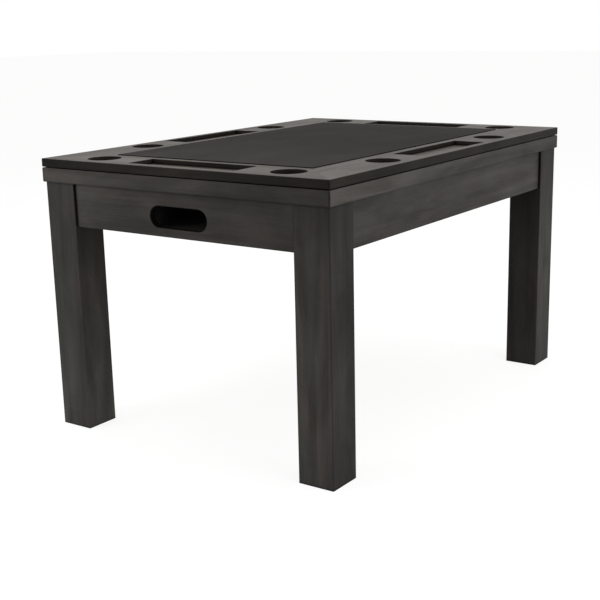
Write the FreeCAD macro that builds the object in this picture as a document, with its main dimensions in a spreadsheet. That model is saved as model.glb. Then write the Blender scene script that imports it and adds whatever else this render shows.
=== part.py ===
"""Gaming table: bumper pool below, a lift-off card and dining top above, on four square legs.

Millimetres. +X runs along the table, +Y across it, +Z is up. The origin is on the floor under the middle.
Front and back are the long sides (-Y and +Y), left and right are the ends (-X and +X).
"""

import FreeCAD, Part
import math
import os
import Sketcher

Vector = FreeCAD.Vector

# Driving sizes in millimetres: name, value, what it is.
SIZES = [
    ("length", 1372, "over the rails and the top"),
    ("width", 988, "over the rails and the top"),
    ("height", 800, "floor to the top's border"),
    # game top
    ("top_thick", 24, "game top at its border"),
    ("base_thick", 11, "base panel, which is also the dining face"),
    ("band_thick", 6, "edge band round the top"),
    ("border_end", 152, "top's edge to the felt, at the ends"),
    ("border_side", 151, "top's edge to the felt, at the long sides"),
    ("felt_thick", 4.5, "felt with its foam backing"),
    ("felt_proud", 2, "felt above the border"),
    ("felt_round", 1.5, "rolled upper edge of the felt"),
    ("felt_gap", 1, "groove between the felt and the border"),
    ("cup_bore", 96, "cup well across"),
    ("cup_corner_side", 368, "top's corner to a cup well, along a long side"),
    ("cup_corner_end", 174, "top's corner to a cup well, along an end"),
    ("cup_inset_side", 73, "top's edge to the wells' line, long sides"),
    ("cup_inset_end", 78, "top's edge to the wells' line, ends"),
    ("tray_gap_side", 86, "cup well to chip tray, long sides"),
    ("tray_gap_end", 88, "cup well to chip tray, ends"),
    ("tray_wide", 100, "chip tray width"),
    ("tray_round", 1.5, "radius left by the cutter in the tray corners"),
    ("edge_round", 2, "eased outer edges of the bands, rails and aprons"),
    # rails and what the top rests on
    ("pad_thick", 2, "rest pads between the rails and the top"),
    ("pad_wide", 22, "rest pad across"),
    ("pad_inset", 40, "outer edge of a rail to its pads"),
    ("pad_along_side", 480, "middle of a long rail to its outer pads"),
    ("pad_along_end", 250, "middle of an end rail to its pads"),
    ("rail_tall", 41, "rail height"),
    ("rail_wide", 105, "rail width without the cushion"),
    ("rail_lap", 6, "rails stand out past the legs"),
    # legs, aprons and frame
    ("leg_side", 108, "square leg"),
    ("leg_round", 2, "eased upright edges of a leg"),
    ("leg_flat", 34, "flat cut on a leg's inner corner for the block, along each face"),
    ("apron_tall", 124, "apron height"),
    ("apron_thick", 20, "apron thickness"),
    ("apron_back", 8, "aprons stand back from the leg faces"),
    ("block_thick", 28, "corner block thickness"),
    ("block_tall", 80, "corner block height"),
    ("block_low", 14, "corner block above the aprons' lower edge"),
    ("block_clear", 2, "leg's flat below the corner block"),
    ("cleat_side", 25, "bed cleat, square section"),
    ("cleat_clear", 6, "bed cleat's ends to the corner blocks"),
    ("beam_thick", 40, "cross beam thickness"),
    ("beam_tall", 60, "cross beam height"),
    ("beam_along", 230, "middle of the table to each cross beam"),
    # bed and cushions
    ("bed_thick", 18, "bed board"),
    ("bed_gap", 0.5, "bed board to the aprons and legs"),
    ("cloth_thick", 0.8, "playing cloth"),
    ("cushion_deep", 40, "rail to the nose of the cushion"),
    ("cushion_nose", 35, "nose height above the rail's lower face"),
    ("cushion_foot", 10, "cushion's lower edge above the rail's lower face"),
    ("cushion_top", 39, "cushion's upper edge above the rail's lower face"),
    ("cushion_toe", 12, "width of the cushion's flat underside"),
    ("nose_back", 3, "underside of the nose behind its tip"),
    ("nose_drop", 4, "underside of the nose below its tip, and its top behind the tip"),
    ("cushion_fall", 1, "fall of the cushion's top towards the nose"),
    ("bumper_near", 95, "middle of the table to the inner bumpers"),
    ("bumper_far", 195, "middle of the table to the outer bumpers"),
    ("goal_bumper_apart", 132, "between the two bumpers of a goal"),
    ("goal_bumper_out", 16, "goal bumpers stand nearer the middle than their pocket"),
    ("post_tall", 37, "bumper post height"),
    ("post_foot", 54, "bumper post foot across"),
    ("post_waist", 34, "bumper post under its ring, across"),
    ("post_cap", 44, "bumper post cap across"),
    ("post_rim", 4, "upright rim of a bumper post's foot"),
    ("post_step", 2, "shoulder under the ring, and bevel of the cap"),
    ("cap_rim", 3, "upright rim of the cap"),
    ("ring_wide", 60, "bumper ring across"),
    ("ring_low", 14, "lower face of the ring above the cloth"),
    ("ring_high", 33, "upper face of the ring above the cloth"),
    ("ring_slope", 4, "bevels of the ring"),
    ("ring_fit", 0.1, "ring to its post, all round"),
    # pockets and ball boxes
    ("pocket_bore", 62, "pocket across, inside its liner"),
    ("pocket_wall", 2.8, "pocket liner wall"),
    ("pocket_flange", 4.2, "pocket liner flange past its wall"),
    ("flange_tall", 1.5, "pocket liner flange thickness"),
    ("flange_ease", 1, "bevels of the pocket liner"),
    ("pocket_fit", 0.2, "liner to the bed board"),
    ("pocket_from_nose", 42, "cushion nose to the pocket's middle"),
    ("opening_long", 198, "ball opening in an end apron"),
    ("opening_tall", 60, "ball opening in an end apron"),
    ("opening_up", 54, "apron's lower edge to the middle of the opening"),
    ("box_deep", 200, "ball box from the apron inwards"),
    ("box_wall", 4, "ball box wall"),
    ("box_spare", 8, "ball box past each end of the opening"),
    ("box_lip", 6, "ball box floor below the opening"),
    ("box_rise", 14, "rise of the ball box floor towards its back"),
    ("box_flange", 16, "ball box flange"),
    ("flange_thick", 3, "ball box flange thickness"),
    # fasteners
    ("hanger_bolt", 8, "leg bolt across"),
    ("hanger_in_leg", 45, "leg bolt inside the leg"),
    ("hanger_apart", 40, "between a leg's two bolts"),
    ("nut_flats", 13, "leg nut and rail bolt head across flats"),
    ("nut_tall", 7, "leg nut height"),
    ("nut_flange", 20, "leg nut flange and rail bolt flange across"),
    ("washer_face", 1.5, "thickness of those flanges"),
    ("bolt_tail", 5, "leg bolt past its nut"),
    ("bolt_ease", 1, "bevel of a bolt's end"),
    ("bolt_head", 5, "rail bolt head without its flange"),
    ("rail_bolt", 8, "rail bolt across"),
    ("rail_bolt_in", 24, "rail bolt inside the rail"),
    ("rail_bolt_inset", 84, "outer edge of a rail to its bolts"),
    ("rail_bolt_side", 380, "middle of a long rail to its outer bolts"),
    ("rail_bolt_end", 200, "middle of an end rail to its bolts"),
    ("screw", 4, "wood screw across"),
    ("screw_head", 8, "wood screw head across"),
    ("head_tall", 2.4, "wood screw head height"),
    ("screw_bite", 15, "wood screw inside the board it holds to"),
    ("cleat_screw_apart", 180, "between the screws of a cleat"),
    ("box_screw_apart", 70, "between the screws of a ball box flange"),
    ("bumper_screw", 5, "bumper screw across"),
    ("hole_fit", 0.1, "bolts and screws to their holes, all round"),
    # levellers
    ("foot_wide", 40, "leveller foot across"),
    ("foot_thick", 7, "leveller foot thickness"),
    ("foot_ease", 1, "bevel round the leveller's foot and on its screw's end"),
    ("foot_rim", 3, "upright rim of the leveller's foot"),
    ("foot_collar", 22, "collar of the leveller's foot, across"),
    ("foot_up", 0.5, "floor to the foot of a leveller wound right in"),
    ("foot_recess", 46, "recess in the leg's end, across"),
    ("foot_recess_deep", 13, "recess in the leg's end, depth"),
    ("stem", 9.8, "leveller screw across"),
    ("stem_up", 62, "floor to the top of the leveller screw"),
    ("stem_room", 12, "hole above the leveller screw"),
    ("insert_bore", 10, "threaded insert across, inside"),
    ("insert_barrel", 13, "threaded insert across, outside"),
    ("insert_long", 16, "threaded insert inside the leg"),
    ("insert_flange", 26, "threaded insert flange across"),
    ("insert_flange_thick", 1.5, "threaded insert flange thickness"),
]

# Heights and lines that several pieces share, as expressions on the sheet.
ROOT2 = "sqrt(2)"
TOP_Z = "(Sizes.height - Sizes.top_thick)"
RAIL_Z = f"({TOP_Z} - Sizes.pad_thick - Sizes.rail_tall)"
BED_Z = f"({RAIL_Z} - Sizes.bed_thick)"
CLOTH_Z = f"({RAIL_Z} + Sizes.cloth_thick)"
APRON_Z = f"({RAIL_Z} - Sizes.apron_tall)"
APRON_INSET = "(Sizes.rail_lap + Sizes.apron_back)"
FRAME_INSET = f"({APRON_INSET} + Sizes.apron_thick)"
LEG_INSET = "(Sizes.rail_lap + Sizes.leg_side)"
LEG_MIDDLE = f"(Sizes.leg_side / {ROOT2})"
LEG_SEAT = f"((2 * Sizes.leg_side - Sizes.leg_flat) / {ROOT2})"
APRON_REACH = f"((Sizes.apron_back + Sizes.apron_thick) * {ROOT2})"
BLOCK_Z = f"({APRON_Z} + Sizes.block_low)"
NOSE_INSET = "(Sizes.rail_wide + Sizes.cushion_deep)"
POCKET_X = f"(Sizes.length / 2 - {NOSE_INSET} - Sizes.pocket_from_nose)"
POCKET_HOLE = "(Sizes.pocket_bore / 2 + Sizes.pocket_wall + Sizes.pocket_fit)"
OPENING_Z = f"({APRON_Z} + Sizes.opening_up)"
BOX_DEPTH = f"({BED_Z} - {OPENING_Z} + Sizes.opening_tall / 2 + Sizes.box_lip + Sizes.box_wall)"
BOX_INSIDE = "(Sizes.opening_long + 2 * Sizes.box_spare)"
BOX_FLANGE_X = f"({BOX_INSIDE} / 2 + Sizes.box_wall + Sizes.box_flange / 2)"
INSERT_Z = "Sizes.foot_recess_deep"

# Each side: turn about Z that brings a piece made for the front to that side.
SIDES = {"front": 0, "right": 90, "back": 180, "left": -90}
ENDS = ("left", "right")
LONG_SIDES = ("front", "back")

# Each corner: sign of X, sign of Y, and the direction of the diagonal towards the middle.
CORNERS = {
    "left_front": (-1, -1, 45),
    "right_front": (1, -1, 135),
    "right_back": (1, 1, 225),
    "left_back": (-1, 1, 315),
}

# How near an edge's middle lies to the line or plane that picks it, for rounding.
CLOSE = 0.01

doc = FreeCAD.newDocument("GamingTable")
sheet = doc.addObject("Spreadsheet::Sheet", "Sizes")
subparts = []


def fill_sheet():
    """Write the driving sizes to the sheet, one row each."""
    for row, (alias, value, note) in enumerate(SIZES, start=1):
        sheet.set(f"A{row}", note)
        sheet.set(f"B{row}", str(value))
        sheet.setAlias(f"B{row}", alias)
    doc.recompute()


def number(expression):
    """The value of an expression on the sheet."""
    return float(sheet.evalExpression(str(expression)))


# Sketches


def new_body(label):
    """An empty body that becomes the sub-part of that name."""
    body = doc.addObject("PartDesign::Body", label)
    body.Label = label
    return body


def new_sketch(body, role, offset=None):
    """A sketch on one of the body's own origin planes, moved off it by offset = (x, y, z) expressions."""
    sketch = body.newObject("Sketcher::SketchObject", body.Label + "_sketch")
    plane = [feature for feature in body.Origin.OriginFeatures if feature.Role == role][0]
    sketch.AttachmentSupport = [(plane, "")]
    sketch.MapMode = "FlatFace"
    for axis, value in zip("xyz", offset or ()):
        sketch.setExpression(f"AttachmentOffset.Base.{axis}", value)
    return sketch


def bind(sketch, kind, element, value):
    """A constraint whose size is an expression. element is a geometry index, or an index and a point."""
    target = (-1, 1, *element) if kind.startswith("Distance") else (element,)
    index = sketch.addConstraint(Sketcher.Constraint(kind, *target, number(value)))
    sketch.setExpression(f"Constraints[{index}]", str(value))


def draw_polygon(sketch, points):
    """A closed polygon through points given as (x, y) expressions."""
    corners = [Vector(number(x), number(y), 0) for x, y in points]
    first = sketch.GeometryCount
    count = len(points)
    for i in range(count):
        sketch.addGeometry(Part.LineSegment(corners[i], corners[(i + 1) % count]), False)
    for i in range(count):
        sketch.addConstraint(Sketcher.Constraint("Coincident", first + i, 2, first + (i + 1) % count, 1))
    for i, (x, y) in enumerate(points):
        bind(sketch, "DistanceX", (first + i, 1), x)
        bind(sketch, "DistanceY", (first + i, 1), y)


def draw_rectangle(sketch, low_x, high_x, low_y, high_y):
    """A rectangle between four expressions."""
    draw_polygon(sketch, [(low_x, low_y), (high_x, low_y), (high_x, high_y), (low_x, high_y)])


def draw_circles(sketch, centres, radius):
    """Circles of one radius round centres given as (x, y) expressions."""
    for x, y in centres:
        circle = Part.Circle(Vector(number(x), number(y), 0), Vector(0, 0, 1), number(radius))
        index = sketch.addGeometry(circle, False)
        bind(sketch, "DistanceX", (index, 3), x)
        bind(sketch, "DistanceY", (index, 3), y)
        bind(sketch, "Radius", index, radius)


def draw_stadium(sketch, long, tall, up):
    """A slot with round ends, long by tall, centred on x = 0 and y = up."""
    radius = number(tall) / 2
    reach = number(long) / 2 - radius
    middle = number(up)
    up_axis = Vector(0, 0, 1)
    ends = []
    for end_x, start in ((-reach, math.pi / 2), (reach, -math.pi / 2)):
        circle = Part.Circle(Vector(end_x, middle, 0), up_axis, radius)
        ends.append(sketch.addGeometry(Part.ArcOfCircle(circle, start, start + math.pi), False))
    left, right = ends
    flats = [
        Part.LineSegment(Vector(-reach, middle - radius, 0), Vector(reach, middle - radius, 0)),
        Part.LineSegment(Vector(reach, middle + radius, 0), Vector(-reach, middle + radius, 0)),
    ]
    below, above = (sketch.addGeometry(line, False) for line in flats)
    joins = ((left, 2, below, 1), (right, 1, below, 2), (right, 2, above, 1), (left, 1, above, 2))
    for join in joins:
        sketch.addConstraint(Sketcher.Constraint("Tangent", *join))
    sketch.addConstraint(Sketcher.Constraint("Equal", left, right))
    bind(sketch, "DistanceX", (left, 3), f"-({long} - {tall}) / 2")
    bind(sketch, "DistanceY", (left, 3), up)
    bind(sketch, "DistanceX", (right, 3), f"({long} - {tall}) / 2")
    bind(sketch, "DistanceY", (right, 3), up)
    bind(sketch, "Radius", left, f"{tall} / 2")


# Features


def pad(body, sketch, length, both_ways=False, downwards=False):
    """Pad a sketch by an expression, from it or half to each side of it."""
    feature = body.newObject("PartDesign::Pad", body.Label + "_pad")
    feature.Profile = sketch
    feature.SideType = "Symmetric" if both_ways else "One side"
    feature.Reversed = downwards
    feature.setExpression("Length", length)
    doc.recompute()
    return feature


def pocket(body, sketch, depth=None, reverse=False, both_ways=False):
    """Cut a sketch out of the body: right through, to a depth, or by a depth shared between both ways."""
    before = body.Shape.Volume
    feature = body.newObject("PartDesign::Pocket", body.Label + "_pocket")
    feature.Profile = sketch
    if depth is None:
        feature.SideType = "Symmetric"
        feature.Type = "ThroughAll"
    else:
        feature.SideType = "Symmetric" if both_ways else "One side"
        feature.Reversed = reverse
        feature.setExpression("Length", depth)
    doc.recompute()
    if body.Shape.Volume >= before:
        raise RuntimeError(f"a pocket of {body.Label} cuts nothing")
    return feature


def revolve(body, sketch, cut=False):
    """Turn a sketch right round its own upright axis, as solid or as a groove."""
    before = body.Shape.Volume if cut else 0
    kind = "Groove" if cut else "Revolution"
    feature = body.newObject("PartDesign::" + kind, body.Label + "_turned")
    feature.Profile = sketch
    feature.ReferenceAxis = (sketch, ["V_Axis"])
    feature.Angle = 360
    doc.recompute()
    if cut and body.Shape.Volume >= before:
        raise RuntimeError(f"the groove of {body.Label} cuts nothing")
    return feature


def fillet(body, radius, chosen):
    """Round the straight edges for which chosen(middle, direction) holds."""
    base = body.Tip
    names = []
    for index, edge in enumerate(body.Shape.Edges, start=1):
        if not isinstance(edge.Curve, Part.Line):
            continue
        start, end = edge.Vertexes[0].Point, edge.Vertexes[-1].Point
        if chosen((start + end) / 2, (end - start).normalize()):
            names.append(f"Edge{index}")
    feature = body.newObject("PartDesign::Fillet", body.Label + "_round")
    feature.Base = (base, names)
    feature.setExpression("Radius", radius)
    doc.recompute()
    return feature


def turned(label, profile):
    """A body turned about Z from a profile of (radius, height) expressions."""
    body = new_body(label)
    sketch = new_sketch(body, "XZ_Plane")
    draw_polygon(sketch, profile)
    revolve(body, sketch)
    return body


def hexagon(flats):
    """The corners of a hexagon across flats, as expressions."""
    corner = f"{flats} / 2 / cos(30 deg)"
    return [(f"{corner} * cos({60 * i} deg)", f"{corner} * sin({60 * i} deg)") for i in range(6)]


# Placing


def place(piece, x, y, z, turn=0):
    """Bind a piece's place to expressions and turn it about Z."""
    piece.Placement = FreeCAD.Placement(Vector(), FreeCAD.Rotation(Vector(0, 0, 1), turn))
    for axis, value in zip("xyz", (x, y, z)):
        piece.setExpression(f"Placement.Base.{axis}", str(value))


def keep(piece):
    """Count a piece as a sub-part, which is checked and written."""
    subparts.append(piece)
    return piece


def side_point(side, along, inset):
    """A point of a side: along it from its middle, and inset from the outer edge of the rails."""
    return {
        "front": (f"{along}", f"-(Sizes.width / 2 - ({inset}))"),
        "back": (f"-({along})", f"(Sizes.width / 2 - ({inset}))"),
        "right": (f"(Sizes.length / 2 - ({inset}))", f"{along}"),
        "left": (f"-(Sizes.length / 2 - ({inset}))", f"-({along})"),
    }[side]


def side_length(side, inset):
    """The length of a side whose ends are inset from the outer edge of the rails."""
    whole = "Sizes.length" if side in LONG_SIDES else "Sizes.width"
    return f"({whole} - 2 * ({inset}))"


def place_on_side(piece, side, inset, z):
    """Place a piece made along X, with its outer face at y = 0, on a side of the table."""
    x, y = side_point(side, "0", inset)
    place(piece, x, y, z, SIDES[side])


def corner_point(corner, reach):
    """The point that lies reach along the diagonal from the outer corner of a leg."""
    sign_x, sign_y, _ = CORNERS[corner]
    return (
        f"{sign_x} * (Sizes.length / 2 - Sizes.rail_lap - {reach} / {ROOT2})",
        f"{sign_y} * (Sizes.width / 2 - Sizes.rail_lap - {reach} / {ROOT2})",
    )


def place_in_corner(piece, corner, reach, z):
    """Place a piece made along the diagonal, with X towards the middle of the table."""
    x, y = corner_point(corner, reach)
    place(piece, x, y, z, CORNERS[corner][2])


def group(label, master, places):
    """Copies of one piece, each at its own (x, y, z, turn), as one sub-part of separate solids."""
    copies = []
    for x, y, z, turn in places:
        copy = doc.addObject("App::Link", label + "_copy")
        copy.LinkedObject = master
        place(copy, x, y, z, turn)
        copies.append(copy)
    compound = doc.addObject("Part::Compound", label)
    compound.Label = label
    compound.Links = copies
    doc.recompute()
    return keep(compound)


def is_outer_edge(middle, direction):
    """Long edges on the outer face of a piece made along X."""
    return abs(direction.x) > 0.99 and abs(middle.y) < CLOSE


def is_upright(direction):
    """Edges along Z."""
    return abs(direction.z) > 0.99


def mitred_bar(label, side, section, inset, depth, run):
    """A bar along one side: a (y, z) section, cut at both ends from y = 0 to a mitre.

    The mitre goes in by run over the bar's depth.
    """
    body = new_body(label)
    length = side_length(side, inset)
    profile = new_sketch(body, "YZ_Plane")
    draw_polygon(profile, section)
    pad(body, profile, length, both_ways=True)
    waste = new_sketch(body, "XY_Plane")
    half = f"{length} / 2"
    for sign in ("", "-"):
        draw_polygon(
            waste,
            [
                (f"{sign}({half} + {run})", f"-({depth})"),
                (f"{sign}({half} - 2 * {run})", f"2 * {depth}"),
                (f"{sign}({half} + {run})", f"2 * {depth}"),
            ],
        )
    pocket(body, waste)
    return body


def box_section(depth, tall):
    """The section of a plain board, depth by tall."""
    return [("0", "0"), (depth, "0"), (depth, tall), ("0", tall)]


def board(label, box):
    """A plain board from (low x, high x, low y, high y, thickness)."""
    body = new_body(label)
    sketch = new_sketch(body, "XY_Plane")
    draw_rectangle(sketch, *box[:4])
    pad(body, sketch, box[4])
    return body


# Game top


def make_base_panel():
    """The board under the whole top: dining face below, floor of the wells and trays above."""
    body = board(
        "top_base_panel",
        (
            "-(Sizes.length / 2 - Sizes.band_thick)",
            "Sizes.length / 2 - Sizes.band_thick",
            "-(Sizes.width / 2 - Sizes.band_thick)",
            "Sizes.width / 2 - Sizes.band_thick",
            "Sizes.base_thick",
        ),
    )
    place(body, 0, 0, TOP_Z)
    keep(body)


def make_edge_band(side):
    """The mitred band that closes one edge of the top."""
    section = box_section("Sizes.band_thick", "Sizes.top_thick")
    body = mitred_bar(f"edge_band_{side}", side, section, "0", "Sizes.band_thick", "Sizes.band_thick")
    fillet(body, "Sizes.edge_round", is_outer_edge)
    place_on_side(body, side, "0", TOP_Z)
    keep(body)


def make_border_board(side):
    """A mitred border board with two cup wells and one chip tray cut through it."""
    own, other = ("side", "end") if side in LONG_SIDES else ("end", "side")
    depth = f"(Sizes.border_{own} - Sizes.band_thick)"
    run = f"(Sizes.border_{other} - Sizes.band_thick)"
    section = box_section(depth, "Sizes.top_thick - Sizes.base_thick")
    body = mitred_bar(f"border_board_{side}", side, section, "Sizes.band_thick", depth, run)
    line = f"(Sizes.cup_inset_{own} - Sizes.band_thick)"
    along = f"({side_length(side, '0')} / 2 - Sizes.cup_corner_{own})"
    wells = new_sketch(body, "XY_Plane")
    draw_circles(wells, [(f"{sign} * {along}", line) for sign in (-1, 1)], "Sizes.cup_bore / 2")
    half = f"({along} - Sizes.cup_bore / 2 - Sizes.tray_gap_{own})"
    reach = "Sizes.tray_wide / 2"
    draw_rectangle(wells, f"-{half}", half, f"{line} - {reach}", f"{line} + {reach}")
    pocket(body, wells)
    tray_end = number(half)
    fillet(
        body,
        "Sizes.tray_round",
        lambda middle, way: is_upright(way) and abs(abs(middle.x) - tray_end) < CLOSE,
    )
    place_on_side(body, side, "Sizes.band_thick", f"{TOP_Z} + Sizes.base_thick")
    keep(body)


def make_play_surface():
    """The play board and the felt on it, inside the border."""
    half_x = "Sizes.length / 2 - Sizes.border_end - Sizes.felt_gap"
    half_y = "Sizes.width / 2 - Sizes.border_side - Sizes.felt_gap"
    outline = (f"-({half_x})", half_x, f"-({half_y})", half_y)
    board_thick = "Sizes.top_thick + Sizes.felt_proud - Sizes.base_thick - Sizes.felt_thick"
    play_board = board("play_board", (*outline, board_thick))
    place(play_board, 0, 0, f"{TOP_Z} + Sizes.base_thick")
    keep(play_board)
    felt = board("play_felt", (*outline, "Sizes.felt_thick"))
    upper = number("Sizes.felt_thick")
    fillet(felt, "Sizes.felt_round", lambda middle, way: abs(middle.z - upper) < CLOSE)
    place(felt, 0, 0, f"{TOP_Z} + Sizes.base_thick + {board_thick}")
    keep(felt)


# Rails and cushions


def make_rail(side):
    """A mitred rail with blind holes for its bolts in the lower face."""
    section = box_section("Sizes.rail_wide", "Sizes.rail_tall")
    body = mitred_bar(f"rail_{side}", side, section, "0", "Sizes.rail_wide", "Sizes.rail_wide")
    holes = new_sketch(body, "XY_Plane")
    centres = [(along, "Sizes.rail_bolt_inset") for along in rail_bolt_line(side)]
    draw_circles(holes, centres, "Sizes.rail_bolt / 2 + Sizes.hole_fit")
    pocket(body, holes, "Sizes.rail_bolt_in + 2 * Sizes.hole_fit", reverse=True)
    fillet(body, "Sizes.edge_round", is_outer_edge)
    place_on_side(body, side, "0", RAIL_Z)
    keep(body)


def rail_bolt_line(side):
    """Where the bolts of a rail lie along it."""
    if side in LONG_SIDES:
        return ("-Sizes.rail_bolt_side", "0", "Sizes.rail_bolt_side")
    return ("-Sizes.rail_bolt_end", "Sizes.rail_bolt_end")


def rail_bolt_places():
    """Every rail bolt's place on the bed, as (x, y) expressions."""
    inset = "Sizes.rail_bolt_inset"
    return [side_point(side, along, inset) for side in SIDES for along in rail_bolt_line(side)]


def cushion_line(proud):
    """The free faces of a cushion as (y, z): foot, nose and top, all proud of the rubber by an expression."""
    foot = f"Sizes.cushion_foot - {proud}"
    top = f"Sizes.cushion_top + {proud}"
    tip = f"Sizes.cushion_deep + {proud}"
    return [
        ("0", foot),
        (f"Sizes.cushion_toe + {proud} / 2", foot),
        (f"{tip} - Sizes.nose_back", f"Sizes.cushion_nose - Sizes.nose_drop - {proud} / 2"),
        (tip, "Sizes.cushion_nose"),
        (f"{tip} - Sizes.nose_drop - {proud} / 2", f"{top} - Sizes.cushion_fall"),
        ("0", top),
    ]


def make_cushion(side):
    """The rubber on a rail's inner face, and the cloth wrapped round it."""
    depth = "Sizes.cushion_deep"
    rubber = mitred_bar(f"cushion_{side}", side, cushion_line("0"), "Sizes.rail_wide", depth, depth)
    place_on_side(rubber, side, "Sizes.rail_wide", RAIL_Z)
    keep(rubber)
    depth = "(Sizes.cushion_deep + Sizes.cloth_thick)"
    section = cushion_line("Sizes.cloth_thick") + cushion_line("0")[::-1]
    cloth = mitred_bar(f"cushion_cloth_{side}", side, section, "Sizes.rail_wide", depth, depth)
    place_on_side(cloth, side, "Sizes.rail_wide", RAIL_Z)
    keep(cloth)


def make_rest_pads():
    """The pads on the rails that the game top lies on."""
    pad_piece = turned("rest_pad", box_section("Sizes.pad_wide / 2", "Sizes.pad_thick"))
    long_line = ("-Sizes.pad_along_side", "0", "Sizes.pad_along_side")
    end_line = ("-Sizes.pad_along_end", "Sizes.pad_along_end")
    places = []
    for side in SIDES:
        for along in long_line if side in LONG_SIDES else end_line:
            places.append((*side_point(side, along, "Sizes.pad_inset"), f"{RAIL_Z} + Sizes.rail_tall", 0))
    group("rest_pads", pad_piece, places)


# Bed, bumpers and pockets


def bumper_places():
    """The bumpers' places as (x, y) expressions: a cross in the middle and a pair at each goal."""
    cross = []
    for reach in ("Sizes.bumper_near", "Sizes.bumper_far"):
        for sign in ("", "-"):
            cross.append((f"{sign}{reach}", "0"))
            cross.append(("0", f"{sign}{reach}"))
    goal_x = f"({POCKET_X} - Sizes.goal_bumper_out)"
    goal_y = "Sizes.goal_bumper_apart / 2"
    goals = [(f"{end}{goal_x}", f"{sign}{goal_y}") for end in ("", "-") for sign in ("", "-")]
    return cross + goals


def pocket_places():
    """The two pockets' places as (x, y) expressions."""
    return [(f"{sign}{POCKET_X}", "0") for sign in ("-", "")]


def make_bed():
    """The bed board, notched round the legs and bored, and the cloth on it."""
    bed = new_body("bed_board")
    outline = new_sketch(bed, "XY_Plane")
    far_x = f"(Sizes.length / 2 - {FRAME_INSET} - Sizes.bed_gap)"
    far_y = f"(Sizes.width / 2 - {FRAME_INSET} - Sizes.bed_gap)"
    leg_x = f"(Sizes.length / 2 - {LEG_INSET} - Sizes.bed_gap)"
    leg_y = f"(Sizes.width / 2 - {LEG_INSET} - Sizes.bed_gap)"
    quarter = [(leg_x, far_y), (leg_x, leg_y), (far_x, leg_y)]
    points = [(f"{x}", f"-{y}") for x, y in quarter]
    points += [(f"{x}", f"{y}") for x, y in quarter[::-1]]
    points += [(f"-{x}", f"{y}") for x, y in quarter]
    points += [(f"-{x}", f"-{y}") for x, y in quarter[::-1]]
    draw_polygon(outline, points)
    pad(bed, outline, "Sizes.bed_thick")
    through = new_sketch(bed, "XY_Plane")
    draw_circles(through, pocket_places(), POCKET_HOLE)
    draw_circles(through, rail_bolt_places(), "Sizes.rail_bolt / 2 + Sizes.hole_fit")
    pocket(bed, through)
    from_above = new_sketch(bed, "XY_Plane", ("0", "0", "Sizes.bed_thick"))
    draw_circles(from_above, bumper_places(), "Sizes.bumper_screw / 2 + Sizes.hole_fit")
    pocket(bed, from_above, "Sizes.screw_bite + 2 * Sizes.hole_fit")
    from_below = new_sketch(bed, "XY_Plane")
    draw_circles(from_below, box_screw_places(), "Sizes.screw / 2 + Sizes.hole_fit")
    pocket(bed, from_below, "Sizes.screw_bite + 2 * Sizes.hole_fit", reverse=True)
    place(bed, 0, 0, BED_Z)
    keep(bed)

    half_x = "Sizes.length / 2 - Sizes.rail_wide"
    half_y = "Sizes.width / 2 - Sizes.rail_wide"
    cloth = board("bed_cloth", (f"-({half_x})", half_x, f"-({half_y})", half_y, "Sizes.cloth_thick"))
    cuts = new_sketch(cloth, "XY_Plane")
    draw_circles(cuts, pocket_places(), POCKET_HOLE)
    draw_circles(cuts, bumper_places(), "Sizes.bumper_screw / 2 + Sizes.hole_fit")
    pocket(cloth, cuts)
    place(cloth, 0, 0, RAIL_Z)
    keep(cloth)


def make_bumpers():
    """Twelve bumpers: a waisted post, a rubber ring round its waist and a screw down its middle."""
    screw_hole = "Sizes.bumper_screw / 2 + Sizes.hole_fit"
    post = turned(
        "bumper_post",
        [
            (screw_hole, "0"),
            ("Sizes.post_foot / 2", "0"),
            ("Sizes.post_foot / 2", "Sizes.post_rim"),
            ("Sizes.post_waist / 2 + Sizes.post_step", "Sizes.ring_low"),
            ("Sizes.post_waist / 2", "Sizes.ring_low"),
            ("Sizes.post_waist / 2", "Sizes.ring_high"),
            ("Sizes.post_cap / 2", "Sizes.ring_high"),
            ("Sizes.post_cap / 2", "Sizes.ring_high + Sizes.cap_rim"),
            ("Sizes.post_cap / 2 - Sizes.post_step", "Sizes.post_tall"),
            ("Sizes.bumper_screw", "Sizes.post_tall"),
            (screw_hole, f"Sizes.post_tall - Sizes.bumper_screw + {screw_hole}"),
        ],
    )
    inner = "Sizes.post_waist / 2 + Sizes.ring_fit"
    outer = "Sizes.ring_wide / 2"
    low = "Sizes.ring_low + Sizes.ring_fit"
    high = "Sizes.ring_high - Sizes.ring_fit"
    ring = turned(
        "bumper_ring",
        [
            (inner, low),
            (f"{outer} - Sizes.ring_slope", low),
            (outer, f"{low} + Sizes.ring_slope"),
            (outer, f"{high} - Sizes.ring_slope"),
            (f"{outer} - Sizes.ring_slope", high),
            (inner, high),
        ],
    )
    head = "Sizes.post_tall - 3 * Sizes.hole_fit"
    head_wide = "(Sizes.bumper_screw - 4 * Sizes.hole_fit)"
    shank = "Sizes.bumper_screw / 2"
    tip = "-(Sizes.cloth_thick + Sizes.screw_bite)"
    screw = turned(
        "bumper_screw",
        [
            ("0", tip),
            (f"{shank} / 2", tip),
            (shank, f"{tip} + Sizes.bumper_screw / 2"),
            (shank, f"{head} - {head_wide} + {shank}"),
            (head_wide, head),
            ("0", head),
        ],
    )
    places = [(x, y, CLOTH_Z, 0) for x, y in bumper_places()]
    group("bumper_posts", post, places)
    group("bumper_rings", ring, places)
    group("bumper_screws", screw, places)


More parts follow.
